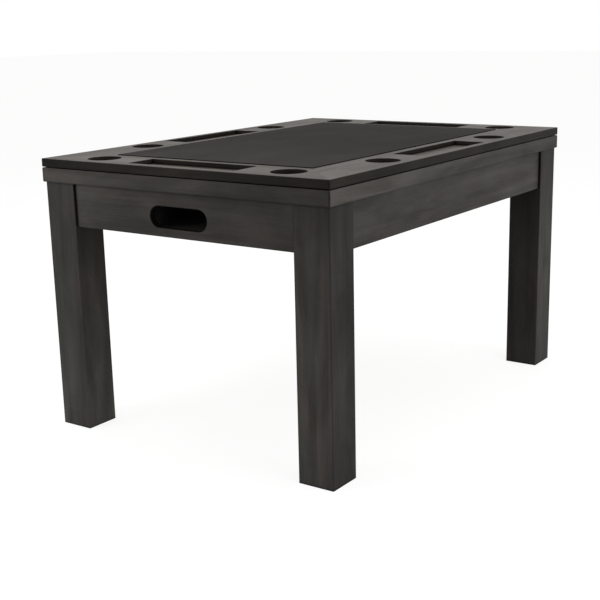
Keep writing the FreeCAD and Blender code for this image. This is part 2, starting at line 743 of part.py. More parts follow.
def make_pocket_liner(end):
    """The flanged sleeve of one pocket."""
    bore = "Sizes.pocket_bore / 2"
    wall = f"{bore} + Sizes.pocket_wall"
    low = "-(Sizes.bed_thick + Sizes.cloth_thick)"
    liner = turned(
        f"pocket_liner_{end}",
        [
            (bore, low),
            (wall, low),
            (wall, "0"),
            (f"{wall} + Sizes.pocket_flange", "0"),
            (f"{wall} + Sizes.pocket_flange - Sizes.flange_ease", "Sizes.flange_tall"),
            (f"{bore} + Sizes.flange_ease", "Sizes.flange_tall"),
            (bore, "Sizes.flange_tall - Sizes.flange_ease"),
        ],
    )
    x, y = pocket_places()[ENDS.index(end)]
    place(liner, x, y, CLOTH_Z)
    keep(liner)


# Ball boxes


def box_screw_line():
    """The screws of a ball box in its own frame: (along the end, in from the apron)."""
    line = []
    for sign in (-1, 1):
        for step in ("-Sizes.box_screw_apart", "0", "Sizes.box_screw_apart"):
            line.append((f"{sign} * {BOX_FLANGE_X}", f"(Sizes.box_deep / 2 + {step})"))
    return line


def box_screw_places():
    """Every ball box screw's place under the bed."""
    line = box_screw_line()
    return [side_point(end, along, f"{FRAME_INSET} + {inwards}") for end in ENDS for along, inwards in line]


def make_ball_box(end):
    """The tray behind an end apron that catches the balls: open above and towards the apron's opening."""
    box = new_body(f"ball_box_{end}")
    floor = f"-{BOX_DEPTH}"
    back_low = f"{floor} + Sizes.box_rise"
    shell = new_sketch(box, "YZ_Plane")
    draw_polygon(shell, [("0", floor), ("Sizes.box_deep", back_low), ("Sizes.box_deep", "0"), ("0", "0")])
    pad(box, shell, f"{BOX_INSIDE} + 2 * Sizes.box_wall", both_ways=True)
    flanges = new_sketch(box, "XY_Plane")
    wall_x = f"({BOX_INSIDE} / 2 + Sizes.box_wall)"
    for sign in (-1, 1):
        near = f"{sign} * ({wall_x} - Sizes.box_wall / 2)"
        far = f"{sign} * ({wall_x} + Sizes.box_flange)"
        draw_rectangle(flanges, near, far, "Sizes.box_wall", "Sizes.box_deep")
    pad(box, flanges, "Sizes.flange_thick", downwards=True)
    back = "Sizes.box_deep - Sizes.box_wall"
    hollow = new_sketch(box, "YZ_Plane")
    draw_polygon(
        hollow,
        [
            ("-Sizes.box_wall", f"{floor} + Sizes.box_wall"),
            ("0", f"{floor} + Sizes.box_wall"),
            (back, f"{floor} + Sizes.box_wall + Sizes.box_rise"),
            (back, "Sizes.box_wall"),
            ("-Sizes.box_wall", "Sizes.box_wall"),
        ],
    )
    pocket(box, hollow, BOX_INSIDE, both_ways=True)
    holes = new_sketch(box, "XY_Plane")
    draw_circles(holes, box_screw_line(), "Sizes.screw / 2 + Sizes.hole_fit")
    pocket(box, holes)
    place_on_side(box, end, FRAME_INSET, BED_Z)
    keep(box)


# Frame


def make_apron(side):
    """An apron between two legs. End aprons have the ball opening, long ones the cleat's screw holes."""
    half = f"{side_length(side, LEG_INSET)} / 2"
    body = board(f"apron_{side}", (f"-{half}", half, "0", "Sizes.apron_thick", "Sizes.apron_tall"))
    fillet(body, "Sizes.edge_round", lambda middle, way: is_outer_edge(middle, way) and middle.z < CLOSE)
    if side in ENDS:
        opening = new_sketch(body, "XZ_Plane")
        draw_stadium(opening, "Sizes.opening_long", "Sizes.opening_tall", "Sizes.opening_up")
        pocket(body, opening)
    else:
        holes = new_sketch(body, "XZ_Plane", ("0", "0", "-Sizes.apron_thick"))
        up = f"{BED_Z} - Sizes.cleat_side / 2 - {APRON_Z}"
        centres = [(along, up) for along in cleat_screw_line()]
        draw_circles(holes, centres, "Sizes.screw / 2 + Sizes.hole_fit")
        pocket(body, holes, "Sizes.screw_bite + 2 * Sizes.hole_fit", reverse=True)
    place_on_side(body, side, APRON_INSET, APRON_Z)
    keep(body)


def cleat_screw_line():
    """Where the screws of a cleat lie along it."""
    return [f"{step} * Sizes.cleat_screw_apart" for step in (-2, -1, 0, 1, 2)]


def make_bed_cleat(side):
    """The batten on a long apron's inner face, under the edge of the bed."""
    reach = f"({LEG_SEAT} + Sizes.block_thick) * {ROOT2} - (Sizes.apron_back + Sizes.apron_thick)"
    half = f"(Sizes.length / 2 - Sizes.rail_lap - ({reach}) - Sizes.cleat_clear)"
    body = board(f"bed_cleat_{side}", (f"-{half}", half, "0", "Sizes.cleat_side", "Sizes.cleat_side"))
    holes = new_sketch(body, "XZ_Plane")
    centres = [(along, "Sizes.cleat_side / 2") for along in cleat_screw_line()]
    draw_circles(holes, centres, "Sizes.screw / 2 + Sizes.hole_fit")
    pocket(body, holes)
    place_on_side(body, side, FRAME_INSET, f"{BED_Z} - Sizes.cleat_side")
    keep(body)


def make_cross_beam(label, sign):
    """A beam under the bed from apron to apron, notched at its ends under the cleats."""
    body = new_body(label)
    section = new_sketch(body, "YZ_Plane")
    half = f"(Sizes.width / 2 - {FRAME_INSET})"
    step = f"({half} - Sizes.cleat_side)"
    under = "Sizes.beam_tall - Sizes.cleat_side"
    right = [(half, "0"), (half, under), (step, under), (step, "Sizes.beam_tall")]
    draw_polygon(section, right + [(f"-{y}", z) for y, z in right[::-1]])
    pad(body, section, "Sizes.beam_thick", both_ways=True)
    place(body, f"{sign} * Sizes.beam_along", 0, f"{BED_Z} - Sizes.beam_tall")
    keep(body)


def bolt_heights():
    """The heights of a leg's two bolts above the floor."""
    middle = f"({BLOCK_Z} + Sizes.block_tall / 2)"
    return [f"({middle} {sign} Sizes.hanger_apart / 2)" for sign in "-+"]


def make_leg(corner):
    """A square leg, drawn with X along its inward diagonal.

    Behind the aprons its inner corner is cut flat for the corner block, with two bolt holes. Its end is
    bored in steps for the leveller.
    """
    leg = new_body(f"leg_{corner}")
    outline = new_sketch(leg, "XY_Plane")
    inner_corner = f"2 * {LEG_MIDDLE}"
    square = [("0", "0"), (LEG_MIDDLE, f"-{LEG_MIDDLE}"), (inner_corner, "0"), (LEG_MIDDLE, LEG_MIDDLE)]
    draw_polygon(outline, square)
    pad(leg, outline, RAIL_Z)
    fillet(leg, "Sizes.leg_round", lambda middle, way: is_upright(way))
    flat = new_sketch(leg, "XY_Plane", ("0", "0", f"{BLOCK_Z} - Sizes.block_clear"))
    past = f"({inner_corner} + Sizes.leg_flat)"
    draw_rectangle(flat, LEG_SEAT, past, f"-{LEG_MIDDLE}", LEG_MIDDLE)
    pocket(leg, flat, f"{RAIL_Z} - {BLOCK_Z} + 2 * Sizes.block_clear", reverse=True)
    bolts = new_sketch(leg, "YZ_Plane", ("0", "0", LEG_SEAT))
    draw_circles(bolts, [("0", z) for z in bolt_heights()], "Sizes.hanger_bolt / 2 + Sizes.hole_fit")
    pocket(leg, bolts, "Sizes.hanger_in_leg + 2 * Sizes.hole_fit")
    stepped = new_sketch(leg, "XZ_Plane", (LEG_MIDDLE, "0", "0"))
    recess = "Sizes.foot_recess / 2"
    barrel = "Sizes.insert_barrel / 2 + Sizes.hole_fit"
    barrel_top = f"{INSERT_Z} + Sizes.insert_long + Sizes.hole_fit"
    stem = "Sizes.stem / 2 + 5 * Sizes.hole_fit"
    stem_top = "Sizes.stem_up + Sizes.stem_room"
    draw_polygon(
        stepped,
        [
            ("0", "0"),
            (recess, "0"),
            (recess, INSERT_Z),
            (barrel, INSERT_Z),
            (barrel, barrel_top),
            (stem, barrel_top),
            (stem, stem_top),
            ("0", stem_top),
        ],
    )
    revolve(leg, stepped, cut=True)
    place_in_corner(leg, corner, "0", 0)
    keep(leg)


def make_corner_block(corner):
    """The block across a corner of the frame, between two aprons, that the leg is bolted to."""
    block = new_body(f"corner_block_{corner}")
    outline = new_sketch(block, "XY_Plane")
    near, far = LEG_SEAT, f"({LEG_SEAT} + Sizes.block_thick)"
    draw_polygon(
        outline,
        [
            (near, f"{APRON_REACH} - {near}"),
            (far, f"{APRON_REACH} - {far}"),
            (far, f"{far} - {APRON_REACH}"),
            (near, f"{near} - {APRON_REACH}"),
        ],
    )
    pad(block, outline, "Sizes.block_tall")
    holes = new_sketch(block, "YZ_Plane")
    centres = [("0", f"{z} - {BLOCK_Z}") for z in bolt_heights()]
    draw_circles(holes, centres, "Sizes.hanger_bolt / 2 + Sizes.hole_fit")
    pocket(block, holes)
    place_in_corner(block, corner, "0", BLOCK_Z)
    keep(block)


# Fasteners, each a group of separate solids


def lying(label, profile):
    """A body turned about X from a profile of (distance along X, radius) expressions."""
    body = new_body(label)
    sketch = new_sketch(body, "XZ_Plane")
    draw_polygon(sketch, profile)
    feature = body.newObject("PartDesign::Revolution", label + "_turned")
    feature.Profile = sketch
    feature.ReferenceAxis = (sketch, ["H_Axis"])
    feature.Angle = 360
    doc.recompute()
    return body


def make_leg_bolts():
    """Two bolts through each corner block into the leg, and the flanged nut on each."""
    radius = "Sizes.hanger_bolt / 2"
    tail = "Sizes.block_thick + Sizes.nut_tall + Sizes.bolt_tail"
    bolt = lying(
        "leg_bolt",
        [
            ("-Sizes.hanger_in_leg", "0"),
            ("-Sizes.hanger_in_leg", f"{radius} / 2"),
            (f"-Sizes.hanger_in_leg + {radius}", radius),
            (f"{tail} - Sizes.bolt_ease", radius),
            (tail, f"{radius} - Sizes.bolt_ease"),
            (tail, "0"),
        ],
    )
    nut = new_body("leg_nut")
    bore = "Sizes.hanger_bolt / 2 + Sizes.hole_fit"
    hexed = new_sketch(nut, "YZ_Plane", ("0", "0", "Sizes.block_thick"))
    draw_polygon(hexed, hexagon("Sizes.nut_flats"))
    pad(nut, hexed, "Sizes.nut_tall")
    flange = new_sketch(nut, "YZ_Plane", ("0", "0", "Sizes.block_thick"))
    draw_circles(flange, [("0", "0")], "Sizes.nut_flange / 2")
    pad(nut, flange, "Sizes.washer_face")
    hole = new_sketch(nut, "YZ_Plane")
    draw_circles(hole, [("0", "0")], bore)
    pocket(nut, hole)
    places = []
    for corner, (_, _, turn) in CORNERS.items():
        for z in bolt_heights():
            places.append((*corner_point(corner, LEG_SEAT), z, turn))
    group("leg_bolts", bolt, places)
    group("leg_nuts", nut, places)


def make_rail_bolts():
    """Hexagon bolts with washer faces, up through the bed into the rails."""
    bolt = new_body("rail_bolt")
    head = new_sketch(bolt, "XY_Plane", ("0", "0", "-(Sizes.bolt_head + Sizes.washer_face)"))
    draw_polygon(head, hexagon("Sizes.nut_flats"))
    pad(bolt, head, "Sizes.bolt_head + Sizes.washer_face / 2")
    shank = new_sketch(bolt, "XZ_Plane")
    radius = "Sizes.rail_bolt / 2"
    tip = "Sizes.bed_thick + Sizes.rail_bolt_in"
    draw_polygon(
        shank,
        [
            ("0", "-Sizes.washer_face"),
            ("Sizes.nut_flange / 2", "-Sizes.washer_face"),
            ("Sizes.nut_flange / 2", "0"),
            (radius, "0"),
            (radius, f"{tip} - Sizes.bolt_ease"),
            (f"{radius} - Sizes.bolt_ease", tip),
            ("0", tip),
        ],
    )
    revolve(bolt, shank)
    group("rail_bolts", bolt, [(x, y, BED_Z, 0) for x, y in rail_bolt_places()])


def wood_screw(through):
    """The (radius, height) profile of a pan-headed screw: head below z = 0, then a board that thick."""
    radius = "Sizes.screw / 2"
    tip = f"{through} + Sizes.screw_bite"
    head = "Sizes.screw_head / 2"
    return [
        ("0", "-Sizes.head_tall"),
        (f"{head} - Sizes.head_tall / 2", "-Sizes.head_tall"),
        (head, "-Sizes.head_tall / 2"),
        (head, "0"),
        (radius, "0"),
        (radius, f"{tip} - Sizes.screw"),
        (f"{radius} / 4", tip),
        ("0", tip),
    ]


def make_screws():
    """The screws of the ball boxes, driven upwards, and of the bed cleats, driven outwards."""
    box_screw = turned("box_screw", wood_screw("Sizes.flange_thick"))
    places = [(x, y, f"{BED_Z} - Sizes.flange_thick", 0) for x, y in box_screw_places()]
    group("box_screws", box_screw, places)
    cleat_screw = lying("cleat_screw", [(z, radius) for radius, z in wood_screw("Sizes.cleat_side")])
    places = []
    for side, turn in (("front", -90), ("back", 90)):
        for along in cleat_screw_line():
            x, y = side_point(side, along, f"{FRAME_INSET} + Sizes.cleat_side")
            places.append((x, y, f"{BED_Z} - Sizes.cleat_side / 2", turn))
    group("cleat_screws", cleat_screw, places)


def make_levellers():
    """A threaded insert in the end of each leg, and the leveller wound into it."""
    inner = "Sizes.insert_bore / 2"
    outer = "Sizes.insert_barrel / 2"
    flange = "Sizes.insert_flange / 2"
    insert = turned(
        "leg_insert",
        [
            (inner, "-Sizes.insert_flange_thick"),
            (flange, "-Sizes.insert_flange_thick"),
            (flange, "0"),
            (outer, "0"),
            (outer, "Sizes.insert_long"),
            (inner, "Sizes.insert_long"),
        ],
    )
    places = [(*corner_point(corner, LEG_MIDDLE), INSERT_Z, 0) for corner in CORNERS]
    group("leg_inserts", insert, places)
    foot = "Sizes.foot_wide / 2"
    stem = "Sizes.stem / 2"
    for corner in CORNERS:
        leveller = turned(
            f"leveller_{corner}",
            [
                ("0", "0"),
                (f"{foot} - Sizes.foot_ease", "0"),
                (foot, "Sizes.foot_ease"),
                (foot, "Sizes.foot_rim"),
                ("Sizes.foot_collar / 2", "Sizes.foot_thick"),
                (stem, "Sizes.foot_thick"),
                (stem, "Sizes.stem_up - Sizes.foot_up - Sizes.foot_ease"),
                (f"{stem} - Sizes.foot_ease", "Sizes.stem_up - Sizes.foot_up"),
                ("0", "Sizes.stem_up - Sizes.foot_up"),
            ],
        )
        x, y = corner_point(corner, LEG_MIDDLE)
        place(leveller, x, y, "Sizes.foot_up")
        keep(leveller)


def make_table():
    """Every sub-part, from the floor up."""
    for corner in CORNERS:
        make_leg(corner)
        make_corner_block(corner)
    make_levellers()
    make_leg_bolts()
    for side in SIDES:
        make_apron(side)
        make_rail(side)
        make_cushion(side)
        make_edge_band(side)
        make_border_board(side)
    for side in LONG_SIDES:
        make_bed_cleat(side)
    make_cross_beam("cross_beam_left", -1)
    make_cross_beam("cross_beam_right", 1)
    make_bed()
    make_bumpers()
    for end in ENDS:
        make_pocket_liner(end)
        make_ball_box(end)
    make_rail_bolts()
    make_screws()
    make_rest_pads()
    make_base_panel()
    make_play_surface()


def check_document():
    """Stop if any object failed or any sub-part is not a valid solid."""
    doc.recompute()
    for item in doc.Objects:
        if "Invalid" in item.State or "Error" in item.State:
            raise RuntimeError(f"{item.Label} did not recompute")
    for piece in subparts:
        shape = piece.Shape
        if shape.isNull() or not shape.isValid() or not shape.Solids:
            raise RuntimeError(f"{piece.Label} is not a valid solid")


def write_parts():
    """One STEP file for each sub-part, named after its label."""
    os.makedirs("parts", exist_ok=True)
    for piece in subparts:
        piece.Shape.exportStep(os.path.join("parts", piece.Label + ".step"))
        print(piece.Label, len(piece.Shape.Solids), round(piece.Shape.Volume))


fill_sheet()
make_table()
check_document()
write_parts()
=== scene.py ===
"""The looks of a gaming table: bumper pool below, a lift-off card and dining top above.

Metres. +X runs along the table, +Y across it, +Z is up, and the origin is on the floor under the middle.
Front and back are the long sides (-Y and +Y), left and right are the ends (-X and +X).
"""

import functools
import logging
import math
from collections.abc import Callable, Sequence
from dataclasses import dataclass, replace
from enum import Enum, StrEnum
from typing import Any

import bmesh
import bpy
from mathutils import Matrix, Vector
from mathutils.geometry import delaunay_2d_cdt

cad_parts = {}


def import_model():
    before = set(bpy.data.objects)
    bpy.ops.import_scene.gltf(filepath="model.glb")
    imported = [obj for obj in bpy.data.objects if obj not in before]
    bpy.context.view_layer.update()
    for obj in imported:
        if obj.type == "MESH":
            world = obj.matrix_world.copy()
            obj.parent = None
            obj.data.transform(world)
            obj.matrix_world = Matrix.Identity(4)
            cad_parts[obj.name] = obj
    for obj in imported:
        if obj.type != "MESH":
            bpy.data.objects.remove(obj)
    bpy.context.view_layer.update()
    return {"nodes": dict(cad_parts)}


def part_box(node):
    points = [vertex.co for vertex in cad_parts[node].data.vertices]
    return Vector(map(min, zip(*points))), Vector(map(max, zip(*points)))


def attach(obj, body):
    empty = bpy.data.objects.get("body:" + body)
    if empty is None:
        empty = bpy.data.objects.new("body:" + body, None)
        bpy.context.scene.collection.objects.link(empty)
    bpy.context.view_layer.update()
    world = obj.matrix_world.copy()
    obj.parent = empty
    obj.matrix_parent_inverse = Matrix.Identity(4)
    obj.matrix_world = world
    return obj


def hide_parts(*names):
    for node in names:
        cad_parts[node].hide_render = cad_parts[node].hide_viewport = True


LOG = logging.getLogger("gaming_table")
MM = 0.001

Point = tuple[float, float]
Triple = tuple[float, float, float]
Colour = Triple
PaintedLight = Triple
Box = tuple[Vector, Vector]
Mesh = bmesh.types.BMesh
Material = bpy.types.Material
Socket = bpy.types.NodeSocket
FaceTest = Callable[[bpy.types.MeshPolygon], bool]

EVEN: PaintedLight = (1.0, 1.0, 1.0)
CURVE_SHARE = 0.48
MOSTLY = 0.6


class Grain(Enum):
    """The way the grain of a piece runs. The value is the number of its axis."""

    ALONG_X = 0
    ALONG_Y = 1
    ALONG_Z = 2

    def stretch(self, along: float, across: float) -> Triple:
        """The scale on each axis of a texture that runs with the grain.

        Args:
            along: features per metre with the grain.
            across: features per metre across it.

        Returns:
            The scale on X, Y and Z.
        """
        scale = [across, across, across]
        scale[self.value] = along
        return tuple(scale)


class Side(StrEnum):
    """A side of the table, in the words of its pieces' names."""

    FRONT = "front"
    RIGHT = "right"
    BACK = "back"
    LEFT = "left"

    @property
    def grain(self) -> Grain:
        """The grain of a piece that runs along the side."""
        return Grain.ALONG_X if self in LONG_SIDES else Grain.ALONG_Y


class Corner(StrEnum):
    """A corner of the table, in the words of its pieces' names."""

    LEFT_FRONT = "left_front"
    RIGHT_FRONT = "right_front"
    RIGHT_BACK = "right_back"
    LEFT_BACK = "left_back"


LONG_SIDES = (Side.FRONT, Side.BACK)
ENDS = (Side.LEFT, Side.RIGHT)


# Node trees


class NodeTree:
    """The node tree of a material or a world, built from its first nodes to its output."""

    def __init__(self, owner: Material | bpy.types.World) -> None:
        """Empty a tree.

        Args:
            owner: the material or the world that the tree belongs to.
        """
        owner.use_nodes = True
        self.nodes = owner.node_tree.nodes
        self.links = owner.node_tree.links
        self.nodes.clear()

    def feed(self, socket: Socket, value: Any) -> None:
        """Link an input to a socket, or give it a value.

        Args:
            socket: the input.
            value: a socket or a plain value.
        """
        if isinstance(value, Socket):
            self.links.new(value, socket)
        else:
            socket.default_value = value

    def add(self, kind: str, inputs: dict[str | int, Any], output: str | int = 0, **settings: Any) -> Socket:
        """Add a node.

        Args:
            kind: the node's type, without ShaderNode.
            inputs: a value or a socket for each input.
            output: the output that is wanted.
            **settings: the node's own properties.

        Returns:
            That output's socket.
        """
        node = self.nodes.new("ShaderNode" + kind)
        for key, value in settings.items():
            setattr(node, key, value)
        for key, value in inputs.items():
            self.feed(node.inputs[key], value)
        return node.outputs[output]

    def show(self, surface: Socket, kind: str = "Material") -> None:
        """Send a surface to an output node of that kind."""
        self.links.new(surface, self.nodes.new("ShaderNodeOutput" + kind).inputs["Surface"])

    def calc(self, operation: str, *values: Any) -> Socket:
        """A math node over sockets and numbers."""
        return self.add("Math", dict(enumerate(values)), operation=operation)


class Tree(NodeTree):
    """The node tree of a finish, on one principled shader."""

    def __init__(self, name: str) -> None:
        """Start a material.

        Args:
            name: the material's name.
        """
        self.material = bpy.data.materials.new(name)
        super().__init__(self.material)
        self.shader = self.nodes.new("ShaderNodeBsdfPrincipled")
        self.show(self.shader.outputs["BSDF"])

    def place(self, scale: Triple = (1, 1, 1), offset: Triple = (0, 0, 0)) -> Socket:
        """The point on the piece, in metres, scaled and then shifted."""
        point = self.add("TexCoord", {}, "Object")
        return self.add("Mapping", {"Vector": point, "Scale": scale, "Location": offset})

    def noise(
        self, scale: Triple, offset: Triple = (0, 0, 0), detail: float = 3, wander: float = 0
    ) -> Socket:
        """Noise from 0 to 1, mostly near the middle.

        Args:
            scale: features per metre on each axis.
            offset: a shift that keeps it apart from other noise.
            detail: finer layers added.
            wander: how far it is distorted.

        Returns:
            The noise's socket.
        """
        inputs = {"Vector": self.place(scale, offset), "Scale": 1, "Detail": detail, "Distortion": wander}
        return self.add("TexNoise", inputs)

    def total(self, *shares: tuple[Socket, float]) -> Socket:
        """A weighted sum.

        Args:
            *shares: each value with its weight.

        Returns:
            The sum's socket.
        """
        result = self.calc("MULTIPLY", *shares[0])
        for value, weight in shares[1:]:
            result = self.calc("MULTIPLY_ADD", value, weight, result)
        return result

    def span(self, value: Socket, low: float, high: float, to_low: float = 0, to_high: float = 1) -> Socket:
        """Move a value from one range to another, clamped.

        Args:
            value: the value.
            low: its low end.
            high: its high end.
            to_low: what the low end becomes.
            to_high: what the high end becomes.

        Returns:
            The moved value's socket.
        """
        return self.add("MapRange", {0: value, 1: low, 2: high, 3: to_low, 4: to_high})

    def mix(self, share: Any, first: Any, second: Any, blend: str = "MIX") -> Socket:
        """Mix two colours.

        Args:
            share: how much of the second.
            first: a colour or its socket.
            second: a colour or its socket.
            blend: the kind of mix.

        Returns:
            The colour's socket.
        """
        first, second = (c if isinstance(c, Socket) else (*c, 1) for c in (first, second))
        return self.add("Mix", {0: share, 6: first, 7: second}, 2, data_type="RGBA", blend_type=blend)

    def darken(self, colour: Socket, share: Socket) -> Socket:
        """A colour times a number."""
        grey = self.add("CombineColor", {channel: share for channel in range(3)})
        return self.mix(1.0, colour, grey, "MULTIPLY")

    def relief(self, height: Socket, depth: float) -> Socket:
        """A normal from a height of 0 to 1, where 1 is that many metres."""
        return self.add("Bump", {"Height": height, "Distance": depth, "Strength": 1.0})

    def axis(self, vector: Socket, axis: int) -> Socket:
        """One part of a vector, X, Y or Z by its number."""
        return self.add("SeparateXYZ", {0: vector}, axis)

    def shade(self, axis: int, reach: Point, painted_light: PaintedLight) -> Socket:
        """Painted light and shade that change along a piece.

        Args:
            axis: the number of the axis that the piece runs along.
            reach: where its low and its high end are.
            painted_light: the painted lightness at the low end, in the middle and at the high end.

        Returns:
            The lightness's socket.
        """
        along = self.axis(self.place(), axis)
        low, high = reach
        centre = (low + high) / 2
        rest = self.span(along, centre, high, 0, painted_light[2] - painted_light[1])
        return self.calc("ADD", self.span(along, low, centre, painted_light[0], painted_light[1]), rest)

    def edges(self, radius: float) -> Socket:
        """Where a surface turns, from 0 on a flat to 1 on an upright or a lower edge.

        Args:
            radius: how far from the edge it starts.

        Returns:
            The mask's socket. Upper edges stay at 0.
        """
        turned = self.add("Bevel", {"Radius": radius}, samples=8)
        true = self.add("NewGeometry", {}, "True Normal")
        flat = self.add("VectorMath", {0: turned, 1: true}, "Value", operation="DOT_PRODUCT")
        lower = self.span(self.axis(turned, 2), 0.04, 0.2, 1, 0)
        return self.calc("MULTIPLY", self.span(flat, 0.996, 0.93), lower)

    def recess(self, reach: float) -> Socket:
        """How open a surface is, from 0 in a corner to 1 at that reach from it."""
        return self.add("AmbientOcclusion", {"Distance": reach}, "AO", samples=8)

    def finish(self, **inputs: Any) -> Material:
        """Fill the shader's inputs.

        Args:
            **inputs: a value or a socket for each, spaces in its name written as _.

        Returns:
            The material.
        """
        for key, value in inputs.items():
            if isinstance(value, tuple):
                value = (*value, 1)
            self.feed(self.shader.inputs[key.replace("_", " ")], value)
        return self.material


# Finishes


@dataclass(frozen=True)
class StainedWood:
    """Wood under a dark stain and a satin lacquer, with its grain showing through."""

    name: str
    dark: Colour
    light: Colour
    # The arris colour goes on upright and lower edges: on the frame wood, stain pooled in the arrises and
    # painted shade along the lower edges; on the light-arris wood, a lighter line.
    arris: Colour = (0.003, 0.0028, 0.0025)
    arris_share: float = 1.0
    arris_reach: float = 6 * MM
    # How far the painted shade of inner corners and overhangs reaches.
    corner_shade_reach: float = 8 * MM
    rosy: Colour = (1.07, 0.995, 0.94)
    olive: Colour = (0.97, 1.01, 0.95)
    rough: float = 0.47
    specular: float = 0.08
    pore_depth: float = 0.12 * MM

    @functools.lru_cache
    def material(self, grain: Grain, painted_light: PaintedLight = EVEN, reach: Point = (-0.5, 0.5)) -> Material:
        """The finish with its grain one way.

        Args:
            grain: the way the grain runs.
            painted_light: painted light and shade, how light the board is at its low end, in its middle and
                at its high end.
            reach: where those two ends are, along the grain.

        Returns:
            The material.
        """
        tree = Tree(f"{self.name}_{grain.name.lower()}")
        streaks = tree.noise(grain.stretch(7, 260), (3, 5, 7), 3, 0.6)
        tone = self._tone(tree, grain, streaks)
        colour = tree.mix(tone, self.dark, self.light)
        hue = tree.noise(grain.stretch(2.3, 17), (6, 2, 11), 3, 0.9)
        tint = tree.mix(tree.span(hue, 0.36, 0.64), self.olive, self.rosy)
        colour = tree.mix(1.0, colour, tint, "MULTIPLY")
        pores = tree.span(tree.noise(grain.stretch(38, 1500), (9, 1, 4), 2), 0.36, 0.44, 0.82, 1)
        # Painted shade: darker in inner corners and under overhangs, by ambient occlusion.
        clear = tree.span(tree.recess(self.corner_shade_reach), 0.45, 0.95, 0.06, 1)
        depth = tree.calc("MULTIPLY", pores, clear)
        # Painted light and shade along the board, lighter or darker towards its ends and middle by how the
        # light falls.
        depth = tree.calc("MULTIPLY", depth, tree.shade(grain.value, reach, painted_light))
        colour = tree.darken(colour, depth)
        # The arris colour in patches along upright and lower edges; on the frame wood it paints shade along
        # the lower edges as well as pooled stain.
        spots = tree.noise(grain.stretch(12, 60))
        arris_mask = tree.span(spots, 0.36, 0.6, self.arris_share, 0.7 * self.arris_share)
        arris_mask = tree.calc("MULTIPLY", tree.edges(self.arris_reach), arris_mask)
        return tree.finish(
            Base_Color=tree.mix(arris_mask, colour, self.arris),
            Roughness=tree.span(tone, 0, 1, self.rough + 0.07, self.rough - 0.06),
            # The specular level follows the mean of the painted light and shade.
            Specular_IOR_Level=self.specular * sum(painted_light) / 3,
            Normal=tree.relief(tree.total((pores, 0.55), (streaks, 0.45)), self.pore_depth),
        )

    def _tone(self, tree: Tree, grain: Grain, streaks: Socket) -> Socket:
        """The figure of the wood.

        Args:
            tree: the tree that it is built in.
            grain: the way the grain runs.
            streaks: its finest streaks.

        Returns:
            The socket of its tone, 0 where it is darkest and 1 where it is lightest.
        """
        bands = tree.noise(grain.stretch(1.3, 17), detail=4, wander=1.4)
        clouds = tree.noise(grain.stretch(3.6, 9), (2, 8, 5), 4, 1.2)
        return tree.total(
            (tree.span(streaks, 0.34, 0.66), 0.16),
            (tree.span(bands, 0.36, 0.64), 0.38),
            (tree.span(clouds, 0.34, 0.66), 0.46),
        )


@dataclass(frozen=True)
class BareWood:
    """Planed wood inside the frame, without a finish."""

    name: str = "raw_wood"
    dark: Colour = (0.42, 0.29, 0.16)
    light: Colour = (0.66, 0.51, 0.33)
    soil: Colour = (0.30, 0.21, 0.13)

    @functools.lru_cache
    def material(self, grain: Grain) -> Material:
        """The wood with its grain one way.

        Args:
            grain: the way the grain runs.

        Returns:
            The material.
        """
        tree = Tree(f"{self.name}_{grain.name.lower()}")
        figure = tree.noise(grain.stretch(2.0, 34), detail=4, wander=0.9)
        fibres = tree.noise(grain.stretch(14, 700), (4, 2, 9))
        rings = tree.calc("SINE", tree.calc("MULTIPLY", figure, 42.0))
        tone = tree.total((fibres, 0.5), (tree.span(rings, -1, 1), 0.55))
        soiled = tree.span(tree.noise((9, 9, 9)), 0.52, 0.75, 0, 0.3)
        return tree.finish(
            Base_Color=tree.mix(soiled, tree.mix(tone, self.light, self.dark), self.soil),
            Roughness=tree.span(fibres, 0.3, 0.7, 0.62, 0.78),
            Specular_IOR_Level=0.3,
            Normal=tree.relief(fibres, 0.15 * MM),
        )


@dataclass(frozen=True)
class PressedBoard:
    """Fibreboard: fine brown fibres with darker flecks."""

    name: str = "pressed_board"
    dark: Colour = (0.27, 0.19, 0.12)
    light: Colour = (0.44, 0.33, 0.22)
    fleck: Colour = (0.11, 0.075, 0.05)

    @functools.lru_cache
    def material(self) -> Material:
        """The board's raw face.

        Returns:
            The material.
        """
        tree = Tree(self.name)
        fibres = tree.noise((420, 420, 420), detail=4)
        flecks = tree.noise((1900, 1900, 1900), (1, 2, 3), 1)
        clouds = tree.noise((11, 11, 11))
        tone = tree.total((clouds, 0.4), (tree.span(fibres, 0.3, 0.7), 0.6))
        colour = tree.mix(tone, self.dark, self.light)
        return tree.finish(
            Base_Color=tree.mix(tree.span(flecks, 0.62, 0.74, 0, 0.45), colour, self.fleck),
            Roughness=tree.span(fibres, 0.3, 0.7, 0.70, 0.86),
            Specular_IOR_Level=0.25,
            Normal=tree.relief(fibres, 0.08 * MM),
        )


